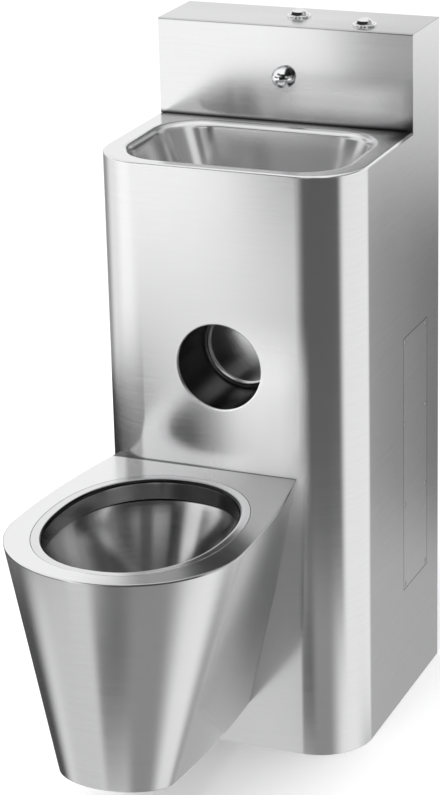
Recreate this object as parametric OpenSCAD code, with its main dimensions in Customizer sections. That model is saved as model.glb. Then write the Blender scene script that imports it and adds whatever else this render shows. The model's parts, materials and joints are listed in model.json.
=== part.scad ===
// Toilet and basin combination unit of stainless steel sheet.
// A cabinet that stands on the floor against a wall carries a pressed basin, an upstand with a spout and two
// push buttons, a round recess for a paper roll and a pan that stands out in front, clear of the floor.
// Millimetres, +Z up, +Y to the wall, origin on the floor under the middle of the unit.

/* [Cabinet] */
// Width of the cabinet
cabinet_w = 400; // [390:2:440]
// Depth of the cabinet, from its front face to the wall
cabinet_d = 392; // [380:2:430]
// Height of the basin deck above the floor
rim_z = 890; // [880:2:930]
// Outside radius of the two front corners
corner_r = 82; // [70:1:86]
// Thickness of the folded sheet
sheet_t = 1.5; // [1:0.1:2]

/* [Upstand] */
// Height of the upstand above the deck
upstand_h = 145; // [130:1:170]
// Depth of the upstand, from its front to the wall
upstand_d = 120; // [116:1:130]
// How far the spout's axis lies below the top of the upstand
spout_drop = 77; // [72:1:90]
// Radius of the spout's dome
spout_r = 17; // [15:0.5:20]
// How far the spout's dome stands off its plain rim
spout_rim = 3; // [2:0.5:6]

/* [Basin] */
// Width of the bowl's mouth
bowl_w = 340; // [300:2:350]
// Length of the bowl's mouth from front to back
bowl_run = 225; // [205:1:235]
// Width of the deck in front of the bowl
bowl_edge = 22; // [18:1:28]
// Depth of the bowl
bowl_depth = 125; // [110:1:140]
// Corner radius of the bowl's mouth
bowl_corner = 68; // [40:1:75]

/* [Paper recess] */
// Radius of the recess for the paper roll
paper_r = 64; // [58:0.5:68]
// Height of the recess's axis above the floor
paper_z = 596; // [580:1:600]
// Depth of the recess
paper_depth = 106; // [100:1:108]

/* [Access panel] */
// Width of the access panel, along the cabinet's side
panel_w = 110; // [100:1:120]
// Height of the access panel
panel_h = 406; // [380:2:420]
// Height of the panel's middle above the floor
panel_z = 383; // [360:1:400]
// Distance of the panel's middle from the wall
panel_back = 109; // [105:1:120]

/* [Buttons and valves] */
// Radius of a push button
button_r = 14; // [12.5:0.25:14.5]
// How far a button goes in
button_travel = 5; // [3:0.5:6]
// Height of a button's crown above its collar
crown_h = 8.5; // [6:0.5:10]
// Distance of the flush button from the unit's right side
flush_button_inset = 86; // [82:1:90]
// Distance of the basin button behind the upstand's front
basin_button_back = 66; // [64:1:68]
// Distance of the flush button behind the upstand's front
flush_button_back = 35; // [33:1:50]
// Outside radius of the basin valve's body
basin_valve_r = 20; // [19:0.5:22]
// Outside radius of the flush valve's body
flush_valve_r = 22; // [21:0.5:23]
// Length of a valve's body
valve_len = 50; // [50:1:58]

/* [Pan] */
// Height of the pan's rim above the floor
pan_rim_z = 440; // [430:1:460]
// How far the pan reaches in front of the cabinet
pan_reach = 428; // [420:1:450]
// Half the pan's greatest width
pan_half = 172; // [165:1:180]
// Half the pan's width at the cabinet
pan_back_half = 144; // [135:1:150]
// How far the pan stands to the left of the cabinet's middle
pan_side = 28; // [0:1:32]
// Distance in front of the cabinet at which the pan is widest
pan_mid = 268; // [250:1:290]
// Height of the pan's underside at the cabinet
pan_base_z = 69; // [60:1:80]
// Rise of the underside for each millimetre forward
pan_base_rise = 0.11; // [0.05:0.01:0.15]
// How far the underside reaches in front of the cabinet
pan_base_reach = 388; // [370:1:400]
// Half the underside's greatest width
pan_base_half = 85; // [80:1:95]
// Half the underside's width at the cabinet
pan_base_back_half = 63; // [60:1:75]
// Distance in front of the cabinet at which the underside is widest
pan_base_mid = 327; // [300:1:340]
// Half the width of the pan's opening
mouth_half = 126; // [120:1:130]
// Front end of the opening, from the cabinet
mouth_front = 384; // [375:1:388]
// Back end of the opening, from the cabinet
mouth_back = 59; // [55:1:70]
// Distance in front of the cabinet at which the opening is widest
mouth_mid = 219; // [210:1:230]
// Height of the band that hangs inside the opening
band_h = 30; // [26:1:42]
// Width of the water channel round the opening
channel_w = 12; // [10:0.5:14]

/* [Pipes] */
// Outside radius of the pan's trap
trap_r = 38; // [36:0.5:40]
// Bend radius of the pan's trap
trap_bend = 58; // [54:1:60]
// Outside radius of the soil outlet
soil_r = 51; // [50:0.5:55]
// Outside radius of the basin's waste pipe
waste_r = 20; // [18:0.5:21]
// Outside radius of the flush pipe
flush_pipe_r = 15; // [14:0.5:16]
// Outside radius of the basin's supply pipe
basin_supply_r = 7.5; // [7:0.5:9]
// Outside radius of the flush supply pipe
flush_supply_r = 11; // [10:0.5:12]
// Outside radius of the basin inlet's thread
basin_inlet_r = 10.5; // [9:0.1:11]
// Outside radius of the flush inlet's thread
flush_inlet_r = 13.2; // [12:0.1:14]
// Height of the basin's stopcock above the floor
basin_cock_z = 520; // [510:1:540]
// Height of the flush stopcock above the floor
flush_cock_z = 470; // [465:1:480]

/* [Frame and fixings] */
// Width of the upright angles
angle_w = 20; // [18:1:21]
// Thickness of the frame's steel
angle_t = 3; // [2.5:0.5:4]
// Height of the cross rails
rail_h = 40; // [35:1:50]
// Distance between the two columns of wall bolts
wall_bolt_x = 300; // [260:5:310]
// Height of the bottom rail's middle above the floor
rail_low_z = 120; // [100:1:140]
// Height of the middle rail's middle above the floor
rail_mid_z = 620; // [600:1:640]
// Distance of the top rail's middle below the upstand's top
rail_top_drop = 35; // [30:1:40]
// Radius of the holes for wall and floor bolts
bolt_hole_r = 4.5; // [4:0.25:5.5]
// Distance between the floor bolts along a side
floor_bolt_y = 220; // [200:5:240]
// Radius of the studs that hold the pan
stud_r = 6; // [5:0.5:6.5]

/* [Hidden] */
$fn = 72;

// Turns that carry a piece drawn along Z, or an arc drawn in XY, to another direction
TO_BACK = [-90, 0, 0];
TO_FRONT = [90, 0, 0];
TO_RIGHT = [0, 90, 0];
ARC_YZ = [90, 0, 90];
ARC_XZ = [90, 0, 0];
ARC_XY = [0, 0, 0];

// Clearances
running = 0.05;
slip = 0.3;
seam = 0.5;
cut = 1;

// Main planes
y_back = (cabinet_d + pan_reach) / 2;
y_face = y_back - cabinet_d;
y_up = y_back - upstand_d;
top_z = rim_z + upstand_h;
side_x = cabinet_w / 2;
inner_x = side_x - sheet_t;
spout_z = top_z - spout_drop;
flush_button_x = side_x - flush_button_inset;
function button_y(x) = y_up + (x < flush_button_x ? basin_button_back : flush_button_back);
basin_y = button_y(0);
flush_y = button_y(flush_button_x);
washer_t = 1;
valve_foot_z = top_z - sheet_t - washer_t - valve_len;
pan_x = -pan_side;

// Steel colours
STEEL = [0.78, 0.78, 0.79];
DARK_STEEL = [0.6, 0.6, 0.62];
CHROME = [0.88, 0.88, 0.9];
BRASS = [0.78, 0.62, 0.32];
RUBBER = [0.15, 0.15, 0.16];

// A plain tube along Z
module tube(r_out, r_in, h) {
    difference() {
        cylinder(r = r_out, h = h);
        translate([0, 0, -cut]) cylinder(r = r_in, h = h + 2 * cut);
    }
}

// Solid arc of a pipe: plane says how it lies, from and sweep are angles round its centre
module arc_rod(plane, r, bend, from, sweep) {
    rotate(plane) rotate([0, 0, from]) rotate_extrude(angle = sweep) translate([bend, 0]) circle(r = r);
}

// Arc of a pipe with its bore
module arc_pipe(plane, r_out, r_in, bend, from, sweep) {
    difference() {
        arc_rod(plane, r_out, bend, from, sweep);
        arc_rod(plane, r_in, bend, from, sweep);
    }
}

// Plan of the cabinet, drawn in by inset: a rectangle whose two front corners are round
module cabinet_plan(inset) {
    translate([-side_x + inset, y_face + corner_r]) square([cabinet_w - 2 * inset, cabinet_d - corner_r]);
    translate([-side_x + corner_r, y_face + inset]) square([cabinet_w - 2 * corner_r, corner_r]);
    for (side = [-1, 1])
        translate([side * (side_x - corner_r), y_face + corner_r]) circle(r = corner_r - inset);
}

// The space that the cabinet takes up to a height
module cabinet_block(height) {
    translate([0, 0, -cut]) linear_extrude(height + cut) cabinet_plan(0);
}

// Places of the access panel's screws, in Y and Z
screw_inset = 8;
screw_rows = 4;
screw_head_r = 3.5;
screw_head_h = 1.2;
screw_shank_r = 2;
panel_y = y_back - panel_back;
panel_ys = [panel_y - panel_w / 2 + screw_inset, panel_y + panel_w / 2 - screw_inset];
panel_zs = [for (i = [0 : screw_rows - 1])
    panel_z - panel_h / 2 + screw_inset + i * (panel_h - 2 * screw_inset) / (screw_rows - 1)];
land = 16;

// Places of the studs that hold the pan, from the pan's middle, and their holes
stud_places = [[-75, 370], [75, 370], [-45, 140], [45, 140]];
stud_hole_r = stud_r + 0.5;
backing_t = 4;
back_plate_t = 3;
flush_in_drop = 25;
flush_in_z = pan_rim_z - sheet_t - flush_in_drop;
grommet_r = flush_pipe_r + 3;

// The pan's trap: its lowest run clears the underside, and its last run leads to the soil outlet
trap_gap = 8;
sump_u = 215;
trap_low_z = pan_base_z + pan_base_rise * sump_u + sheet_t + trap_r + trap_gap;
sump_z = trap_low_z + trap_bend;
soil_z = sump_z + trap_bend;
soil_hole_r = trap_r + 4;

// Everything that passes through the front face behind the pan
module face_holes(y, depth, stud_hole) {
    translate([pan_x, y, soil_z]) rotate(TO_BACK) cylinder(r = soil_hole_r, h = depth);
    translate([pan_x, y, flush_in_z]) rotate(TO_BACK) cylinder(r = grommet_r, h = depth);
    for (p = stud_places)
        translate([pan_x + p[0], y, p[1]]) rotate(TO_BACK) cylinder(r = stud_hole, h = depth);
}

// Wrapped sheet: front, two round corners and both sides, which rise beside the upstand
module cabinet_shell() {
    gap = 0.4;
    color(STEEL) difference() {
        union() {
            linear_extrude(rim_z - sheet_t) cabinet_plan(0);
            for (x = [-side_x, inner_x])
                translate([x, y_up + sheet_t, rim_z - 2 * sheet_t])
                    cube([sheet_t, upstand_d - sheet_t, upstand_h + sheet_t]);
        }
        translate([0, 0, -cut]) linear_extrude(top_z) {
            cabinet_plan(sheet_t);
            translate([-inner_x, y_back - cut]) square([2 * inner_x, 2 * cut]);
        }
        translate([0, y_face - cut, paper_z]) rotate(TO_BACK) cylinder(r = paper_r, h = sheet_t + 2 * cut);
        translate([inner_x - cut, panel_y - panel_w / 2 - gap, panel_z - panel_h / 2 - gap])
            cube([sheet_t + 2 * cut, panel_w + 2 * gap, panel_h + 2 * gap]);
        face_holes(y_face - cut, sheet_t + 2 * cut, stud_hole_r);
    }
}

// Folded sheet: the upstand's front and its top, with holes for the spout and the two buttons
module upstand_cover() {
    color(STEEL) difference() {
        union() {
            translate([-side_x, y_up, rim_z]) cube([cabinet_w, sheet_t, upstand_h]);
            translate([-side_x, y_up, top_z - sheet_t]) cube([cabinet_w, upstand_d, sheet_t]);
        }
        translate([0, y_up - cut, spout_z]) rotate(TO_BACK)
            cylinder(r = spout_tail_r + running, h = sheet_t + 2 * cut);
        for (x = [0, flush_button_x])
            translate([x, button_y(x), top_z - sheet_t - cut])
                cylinder(r = barrel_r + running, h = sheet_t + 2 * cut);
    }
}

// Levels of the bowl: depth below the deck, share of the mouth's width and run that is left, corner radius
bowl_levels = [[0, 1, 1, bowl_corner], [0.68, 0.8, 0.84, 58], [1, 0.36, 0.42, 40]];
bowl_y = y_face + bowl_edge + bowl_run / 2;
floor_z = rim_z - bowl_depth;
slab = 0.2;

// One level of the bowl, drawn out by grow
module bowl_level(level, grow) {
    w = bowl_w * level[1] + 2 * grow;
    run = bowl_run * level[2] + 2 * grow;
    r = min(level[3] + grow, run / 2 - cut);
    translate([0, bowl_y, rim_z - bowl_depth * level[0] - grow])
        linear_extrude(slab) hull()
            for (x = [-1, 1], y = [-1, 1])
                translate([x * (w / 2 - r), y * (run / 2 - r)]) circle(r = r, $fn = 48);
}

// The bowl's form: steep upper walls and a shallow dish below
module bowl_form(grow) {
    hull() {
        bowl_level(bowl_levels[0], grow);
        bowl_level(bowl_levels[1], grow);
    }
    hull() {
        bowl_level(bowl_levels[1], grow);
        bowl_level(bowl_levels[2], grow);
    }
}

// Deck and bowl pressed in one, with a tongue that runs under the upstand
module basin_bowl() {
    tongue = 14;
    color(STEEL) difference() {
        union() {
            translate([0, 0, rim_z - sheet_t]) linear_extrude(sheet_t) {
                intersection() {
                    cabinet_plan(0);
                    translate([-side_x, y_face]) square([cabinet_w, cabinet_d - upstand_d + sheet_t]);
                }
                translate([-inner_x + running, y_up]) square([2 * (inner_x - running), tongue]);
            }
            bowl_form(sheet_t);
        }
        bowl_form(0);
        translate([0, bowl_y, rim_z - slab]) linear_extrude(cut) hull()
            for (x = [-1, 1], y = [-1, 1])
                translate([x * (bowl_w / 2 - bowl_corner), y * (bowl_run / 2 - bowl_corner)])
                    circle(r = bowl_corner, $fn = 48);
        translate([0, bowl_y, floor_z - 2 * sheet_t])
            cylinder(r = waste_tail_r + running, h = 4 * sheet_t);
    }
}

// Round cup for the paper roll, with a flange behind the front sheet
module paper_recess() {
    flange_w = 12;
    color(STEEL) translate([0, y_face + sheet_t, paper_z]) rotate(TO_BACK) difference() {
        union() {
            cylinder(r = paper_r + sheet_t, h = paper_depth + sheet_t);
            cylinder(r = paper_r + flange_w, h = sheet_t);
        }
        translate([0, 0, -cut]) cylinder(r = paper_r, h = paper_depth + cut);
    }
}

// Flat cover over the service opening in the right side
module access_panel() {
    color(STEEL) difference() {
        translate([inner_x, panel_y - panel_w / 2, panel_z - panel_h / 2]) cube([sheet_t, panel_w, panel_h]);
        for (y = panel_ys, z = panel_zs) {
            translate([inner_x - cut, y, z]) rotate(TO_RIGHT)
                cylinder(r = screw_shank_r + running, h = sheet_t + 2 * cut);
            translate([side_x - screw_head_h, y, z]) rotate(TO_RIGHT)
                cylinder(r = screw_head_r + running, h = 2 * sheet_t);
        }
    }
}

// Frame behind the service opening that the panel lies on
frame_plate_t = 2;
module access_frame() {
    reach = 10;
    color(DARK_STEEL) difference() {
        translate([inner_x - frame_plate_t, panel_y - panel_w / 2 - reach, panel_z - panel_h / 2 - reach])
            cube([frame_plate_t, panel_w + 2 * reach, panel_h + 2 * reach]);
        translate([inner_x - frame_plate_t - cut, panel_y - panel_w / 2 + land, panel_z - panel_h / 2 + land])
            cube([frame_plate_t + 2 * cut, panel_w - 2 * land, panel_h - 2 * land]);
        for (y = panel_ys, z = panel_zs)
            translate([inner_x - frame_plate_t - cut, y, z]) rotate(TO_RIGHT)
                cylinder(r = screw_shank_r + running, h = frame_plate_t + 2 * cut);
    }
}

// Security screws of the panel, with a round socket in each head
module access_screws() {
    tip = 3;
    color(CHROME) for (y = panel_ys, z = panel_zs) translate([side_x, y, z]) rotate(TO_RIGHT) difference() {
        union() {
            translate([0, 0, -screw_head_h]) cylinder(r = screw_head_r, h = screw_head_h);
            translate([0, 0, -sheet_t - frame_plate_t - tip])
                cylinder(r = screw_shank_r, h = sheet_t + frame_plate_t + tip - screw_head_h);
        }
        translate([0, 0, -0.8]) cylinder(r = 1.4, h = 1);
    }
}

// Cross rails of the frame: their heights and where they lie
rail_t = 4;
rail_y = y_back - angle_t - rail_t;
rail_top_z = top_z - rail_top_drop;
rail_zs = [rail_top_z, rail_mid_z, rail_low_z];
frame_bolt_r = 3;
frame_bolt_x = inner_x - 0.56 * angle_w;

// Upright angle in a back corner, side is -1 for left and 1 for right
module frame_upright(side) {
    color(DARK_STEEL) mirror([side < 0 ? 1 : 0, 0, 0]) difference() {
        union() {
            translate([inner_x - angle_t, y_back - angle_w, 0])
                cube([angle_t, angle_w, top_z - sheet_t]);
            translate([inner_x - angle_w, y_back - angle_t, 0])
                cube([angle_w, angle_t, top_z - sheet_t]);
        }
        for (z = rail_zs)
            translate([frame_bolt_x, y_back - angle_t - cut, z]) rotate(TO_BACK)
                cylinder(r = frame_bolt_r + running, h = angle_t + 2 * cut);
    }
}
module frame_upright_left() { frame_upright(-1); }
module frame_upright_right() { frame_upright(1); }

// Flat rail across the back; wall is true where it takes the wall bolts
module frame_rail(z, wall) {
    length = 2 * (inner_x - angle_t - seam);
    color(DARK_STEEL) difference() {
        translate([-length / 2, rail_y, z - rail_h / 2]) cube([length, rail_t, rail_h]);
        for (side = [-1, 1]) {
            translate([side * frame_bolt_x, rail_y - cut, z]) rotate(TO_BACK)
                cylinder(r = frame_bolt_r + running, h = rail_t + 2 * cut);
            if (wall)
                translate([side * wall_bolt_x / 2, rail_y - cut, z]) rotate(TO_BACK)
                    cylinder(r = bolt_hole_r, h = rail_t + 2 * cut);
        }
    }
}
module frame_rail_top() { frame_rail(rail_top_z, true); }
module frame_rail_middle() { frame_rail(rail_mid_z, false); }
module frame_rail_bottom() { frame_rail(rail_low_z, true); }

// Bolts that hold the rails to the uprights
module frame_bolts() {
    head_r = 5;
    head_h = 4;
    color(CHROME) for (side = [-1, 1], z = rail_zs)
        translate([side * frame_bolt_x, rail_y - head_h, z]) rotate(TO_BACK) {
            cylinder(r = head_r, h = head_h);
            cylinder(r = frame_bolt_r, h = head_h + rail_t + angle_t);
        }
}

// Angle along the foot of a side, with two holes for floor bolts
floor_angle_w = 40;
floor_angle_h = 30;
floor_bolt_x = inner_x - 0.55 * floor_angle_w;
floor_front = y_face + corner_r;
floor_back = y_back - angle_w - cut;
floor_mid = (floor_front + floor_back) / 2;
module floor_angle(side) {
    color(DARK_STEEL) mirror([side < 0 ? 1 : 0, 0, 0]) difference() {
        union() {
            translate([inner_x - angle_t, floor_front, 0])
                cube([angle_t, floor_back - floor_front, floor_angle_h]);
            translate([inner_x - floor_angle_w, floor_front, 0])
                cube([floor_angle_w, floor_back - floor_front, angle_t]);
        }
        for (end = [-1, 1])
            translate([floor_bolt_x, floor_mid + end * floor_bolt_y / 2, -cut])
                cylinder(r = bolt_hole_r, h = angle_t + 2 * cut);
    }
}
module floor_angle_left() { floor_angle(-1); }
module floor_angle_right() { floor_angle(1); }

// Spout: a fixed dome with a jet hole that points down and forward, on a threaded tail
spout_tail_r = 8;
spout_tail = 26;
spout_washer_t = 1.5;
module spout_nozzle() {
    bore_r = 5;
    jet_r = 3.5;
    jet_angle = 45;
    color(CHROME) translate([0, y_up, spout_z]) rotate(TO_FRONT) difference() {
        union() {
            cylinder(r = spout_r, h = spout_rim);
            translate([0, 0, spout_rim]) intersection() {
                sphere(r = spout_r);
                cylinder(r = spout_r + cut, h = spout_r + cut);
            }
            translate([0, 0, -spout_tail]) cylinder(r = spout_tail_r, h = spout_tail + cut);
        }
        translate([0, 0, -spout_tail - cut]) cylinder(r = bore_r, h = spout_tail + spout_rim + cut);
        translate([0, 0, spout_rim - bore_r / 2]) rotate([jet_angle, 0, 0]) cylinder(r = jet_r, h = 2 * spout_r);
    }
}

module spout_washer() {
    color(RUBBER) translate([0, y_up + sheet_t, spout_z]) rotate(TO_BACK)
        tube(spout_tail_r + 6, spout_tail_r + running, spout_washer_t);
}

module spout_nut() {
    across = 14;
    nut_h = 7;
    color(BRASS) translate([0, y_up + sheet_t + spout_washer_t, spout_z]) rotate(TO_BACK) difference() {
        cylinder(r = across, h = nut_h, $fn = 6);
        translate([0, 0, -cut]) cylinder(r = spout_tail_r + running, h = nut_h + 2 * cut);
    }
}

// Pipe from the basin valve's outlet down and forward to the spout's tail
feed_r = 6;
feed_bend = 15;
module basin_feed_pipe() {
    wall = 1;
    bend_z = spout_z + feed_bend;
    run = basin_button_back - feed_bend - spout_tail;
    color(CHROME) {
        translate([0, basin_y, bend_z]) tube(feed_r, feed_r - wall, valve_foot_z - bend_z);
        translate([0, basin_y - feed_bend, bend_z])
            arc_pipe(ARC_YZ, feed_r, feed_r - wall, feed_bend, 270, 90);
        translate([0, basin_y - feed_bend, spout_z]) rotate(TO_FRONT) tube(feed_r, feed_r - wall, run);
    }
}

// Heights in a push valve, from the upstand's top down
collar_h = 3;
collar_w = 4;
barrel_r = button_r + 2;
barrel_len = 18;
button_skirt = 8;
ledge_drop = 20;
chamber_r = button_r - 2;
chamber_drop = valve_len - 6;
inlet_drop = 38;
piston_drop = 28;
piston_h = 6;
rod_r = 4;

// Push button with a crown cut from a ball, x is its place across the unit
module push_button(x) {
    ball_r = (button_r * button_r + crown_h * crown_h) / (2 * crown_h);
    color(CHROME) translate([x, button_y(x), top_z]) {
        translate([0, 0, -button_skirt]) cylinder(r = button_r, h = button_skirt + collar_h);
        translate([0, 0, collar_h]) intersection() {
            translate([0, 0, crown_h - ball_r]) sphere(r = ball_r);
            cylinder(r = button_r, h = 2 * crown_h);
        }
    }
}
module basin_button() { push_button(0); }
module flush_button() { push_button(flush_button_x); }

// Rod and piston that the button pushes down
module plunger(x) {
    color(BRASS) translate([x, button_y(x), top_z]) {
        translate([0, 0, -piston_drop]) cylinder(r = rod_r, h = piston_drop - button_skirt);
        translate([0, 0, -piston_drop - piston_h]) cylinder(r = chamber_r, h = piston_h);
    }
}
module basin_plunger() { plunger(0); }
module flush_plunger() { plunger(flush_button_x); }

// Return spring, a wire of six sides swept along a helix
spring_wire_r = 0.7;
spring_turns = 4;
spring_steps = 16;
function spring_ring(i, low, high, mean_r) =
    let (a = 360 * i / spring_steps, z = low + (high - low) * i / (spring_turns * spring_steps))
    [for (k = [0 : 5]) let (b = 60 * k, r = mean_r + spring_wire_r * cos(b))
        [r * cos(a), r * sin(a), z + spring_wire_r * sin(b)]];
module spring(x) {
    low = -ledge_drop + spring_wire_r + running;
    high = -button_skirt - spring_wire_r - running;
    mean_r = chamber_r + 0.9;
    count = spring_turns * spring_steps;
    points = [for (i = [0 : count]) for (p = spring_ring(i, low, high, mean_r)) p];
    sides = [for (i = [0 : count - 1], k = [0 : 5])
        [6 * i + k, 6 * i + 6 + k, 6 * i + 6 + (k + 1) % 6, 6 * i + (k + 1) % 6]];
    ends = [[0, 1, 2, 3, 4, 5], [for (k = [5 : -1 : 0]) 6 * count + k]];
    color(DARK_STEEL) translate([x, button_y(x), top_z]) polyhedron(points = points, faces = concat(sides, ends));
}
module basin_spring() { spring(0); }
module flush_spring() { spring(flush_button_x); }

// Collar on the upstand's top, with a barrel that screws into the valve
module collar(x) {
    color(CHROME) translate([x, button_y(x), top_z]) difference() {
        union() {
            cylinder(r = button_r + collar_w, h = collar_h);
            translate([0, 0, -barrel_len]) cylinder(r = barrel_r, h = barrel_len);
        }
        translate([0, 0, -barrel_len - cut])
            cylinder(r = button_r + running, h = barrel_len + collar_h + 2 * cut);
    }
}
module basin_collar() { collar(0); }
module flush_collar() { collar(flush_button_x); }

module valve_washer(x, body_r) {
    color(RUBBER) translate([x, button_y(x), top_z - sheet_t - washer_t])
        tube(body_r, barrel_r + running, washer_t);
}
module basin_valve_washer() { valve_washer(0, basin_valve_r); }
module flush_valve_washer() { valve_washer(flush_button_x, flush_valve_r); }

// Valve body under the top: barrel seat, piston chamber, inlet on the right and outlet below
boss_len = 5;
module valve_body(x, body_r, in_r, out_r) {
    top = -sheet_t - washer_t;
    inlet_z = -inlet_drop;
    color(BRASS) translate([x, button_y(x), top_z]) difference() {
        union() {
            translate([0, 0, top - valve_len]) cylinder(r = body_r, h = valve_len);
            translate([0, 0, inlet_z]) rotate(TO_RIGHT) cylinder(r = in_r + 1.5, h = body_r + boss_len);
        }
        translate([0, 0, -ledge_drop]) cylinder(r = barrel_r + running, h = ledge_drop);
        translate([0, 0, -chamber_drop])
            cylinder(r = chamber_r + running, h = chamber_drop - ledge_drop + cut);
        translate([0, 0, top - valve_len - cut]) cylinder(r = out_r, h = valve_len - chamber_drop + 10);
        translate([0, 0, inlet_z]) rotate(TO_RIGHT) cylinder(r = in_r - 1.5, h = body_r + boss_len + cut);
    }
}
module basin_valve_body() { valve_body(0, basin_valve_r, basin_supply_r, feed_r - 1); }
module flush_valve_body() { valve_body(flush_button_x, flush_valve_r, flush_supply_r - 3, chamber_r - 1); }

// Supply pipe from a stopcock forward, up and across to a valve's inlet; y is where it rises
riser_bend = 15;
flush_riser_inset = 40.5;
basin_riser_x = 0.3 * side_x;
flush_riser_x = inner_x - flush_riser_inset;
cock_y = basin_y + riser_bend + 2;
module riser(x_cock, y, z_cock, x_end, r) {
    wall = 1;
    low = z_cock + riser_bend;
    high = top_z - inlet_drop - riser_bend;
    color(CHROME) {
        translate([x_cock, y + riser_bend, z_cock]) rotate(TO_BACK) tube(r, r - wall, cock_y - y - riser_bend);
        translate([x_cock, y + riser_bend, low]) arc_pipe(ARC_YZ, r, r - wall, riser_bend, 180, 90);
        translate([x_cock, y, low]) tube(r, r - wall, high - low);
        translate([x_cock - riser_bend, y, high]) arc_pipe(ARC_XZ, r, r - wall, riser_bend, 0, 90);
        translate([x_end, y, high + riser_bend]) rotate(TO_RIGHT)
            tube(r, r - wall, x_cock - riser_bend - x_end);
    }
}
module basin_riser_pipe() {
    riser(basin_riser_x, basin_y, basin_cock_z, basin_valve_r + boss_len, basin_supply_r);
}
module flush_riser_pipe() {
    riser(flush_riser_x, flush_y, flush_cock_z, flush_button_x + flush_valve_r + boss_len, flush_supply_r);
}

// Stopcock: a body with a threaded inlet at the wall, a ball with a way through, and a slotted spindle
nipple = 10;
cock_len = y_back - nipple - cock_y;
ball_r = 9.5;
way_r = 6;
ball_flat = 8.5;
spindle_r = 4;
gland_r = 8;
gland_end = 19;
spindle_end = 24;
tongue = 2;
module stopcock_body(x, z, inlet_r) {
    body_r = 15;
    color(BRASS) translate([x, cock_y, z]) difference() {
        union() {
            rotate(TO_BACK) cylinder(r = body_r, h = cock_len);
            rotate(TO_BACK) cylinder(r = inlet_r, h = cock_len + nipple);
            translate([0, cock_len / 2, 0]) rotate(TO_RIGHT) cylinder(r = gland_r, h = gland_end);
        }
        translate([0, -cut, 0]) rotate(TO_BACK) cylinder(r = way_r, h = cock_len + nipple + 2 * cut);
        translate([0, cock_len / 2 - ball_r - slip, 0]) rotate(TO_BACK)
            cylinder(r = ball_r + slip, h = 2 * (ball_r + slip));
        translate([0, cock_len / 2, 0]) rotate(TO_RIGHT) cylinder(r = spindle_r + running, h = gland_end + cut);
    }
}
module stopcock_ball(x, z) {
    color(CHROME) translate([x, cock_y + cock_len / 2, z]) difference() {
        sphere(r = ball_r);
        translate([0, -2 * ball_r, 0]) rotate(TO_BACK) cylinder(r = way_r - 0.5, h = 4 * ball_r);
        translate([ball_flat, -ball_r, -ball_r]) cube(2 * ball_r);
        translate([ball_flat - tongue, -tongue / 2 - running, -ball_r])
            cube([2 * tongue, tongue + 2 * running, 2 * ball_r]);
    }
}
module stopcock_spindle(x, z) {
    slot_w = 1.2;
    slot_depth = 2;
    color(CHROME) translate([x, cock_y + cock_len / 2, z]) difference() {
        union() {
            translate([ball_flat + slip, 0, 0]) rotate(TO_RIGHT)
                cylinder(r = spindle_r, h = spindle_end - ball_flat - slip);
            translate([ball_flat - tongue + slip, -tongue / 2, -spindle_r / 2])
                cube([2 * tongue, tongue, spindle_r]);
        }
        translate([spindle_end - slot_depth, -2 * spindle_r, -slot_w / 2])
            cube([2 * slot_depth, 4 * spindle_r, slot_w]);
    }
}
module basin_stopcock_body() { stopcock_body(basin_riser_x, basin_cock_z, basin_inlet_r); }
module basin_stopcock_ball() { stopcock_ball(basin_riser_x, basin_cock_z); }
module basin_stopcock_spindle() { stopcock_spindle(basin_riser_x, basin_cock_z); }
module flush_stopcock_body() { stopcock_body(flush_riser_x, flush_cock_z, flush_inlet_r); }
module flush_stopcock_ball() { stopcock_ball(flush_riser_x, flush_cock_z); }
module flush_stopcock_spindle() { stopcock_spindle(flush_riser_x, flush_cock_z); }

// Flush pipe: down from the valve, across to the pan's middle and forward through the face
flush_bend = 40;
module flush_path(r) {
    low = flush_in_z + flush_bend;
    front = y_face - mouth_back + channel_w + sheet_t;
    translate([flush_button_x, flush_y, low]) cylinder(r = r, h = valve_foot_z - low);
    translate([flush_button_x - flush_bend, flush_y, low]) arc_rod(ARC_XZ, r, flush_bend, 270, 90);
    translate([pan_x + flush_bend, flush_y, flush_in_z]) rotate(TO_RIGHT)
        cylinder(r = r, h = flush_button_x - pan_x - 2 * flush_bend);
    translate([pan_x + flush_bend, flush_y - flush_bend, flush_in_z]) arc_rod(ARC_XY, r, flush_bend, 90, 90);
    translate([pan_x, front, flush_in_z]) rotate(TO_BACK)
        cylinder(r = r, h = flush_y - flush_bend - front);
}
module flush_pipe() {
    color(CHROME) difference() {
        flush_path(flush_pipe_r);
        flush_path(flush_pipe_r - 1);
    }
}

// Rubber ring round the flush pipe in the cabinet's face
module flush_grommet() {
    color(RUBBER) translate([pan_x, y_face, flush_in_z]) rotate(TO_BACK)
        tube(grommet_r, flush_pipe_r + running, sheet_t + backing_t);
}

// Basin waste: flange on the bowl's floor, strainer in it, gasket and nut below
waste_tail_r = 16;
waste_tail = 55;
waste_flange_r = 30;
waste_flange_t = 2.5;
strainer_r = 20;
strainer_t = 1.5;
gasket_t = 3;
module waste_strainer() {
    hole_r = 2.2;
    hole_circle = 9;
    color(CHROME) translate([0, bowl_y, floor_z + waste_flange_t - strainer_t]) difference() {
        cylinder(r = strainer_r, h = strainer_t);
        translate([0, 0, -cut]) cylinder(r = hole_r, h = strainer_t + 2 * cut);
        for (a = [0 : 60 : 300])
            rotate([0, 0, a]) translate([hole_circle, 0, -cut]) cylinder(r = hole_r, h = strainer_t + 2 * cut);
    }
}
module waste_body() {
    color(CHROME) translate([0, bowl_y, floor_z]) difference() {
        union() {
            cylinder(r = waste_flange_r, h = waste_flange_t);
            translate([0, 0, -waste_tail]) cylinder(r = waste_tail_r, h = waste_tail + cut);
        }
        translate([0, 0, -waste_tail - cut]) cylinder(r = waste_tail_r - 2, h = waste_tail + 10);
        translate([0, 0, waste_flange_t - strainer_t]) cylinder(r = strainer_r + running, h = 2 * strainer_t);
    }
}
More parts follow.
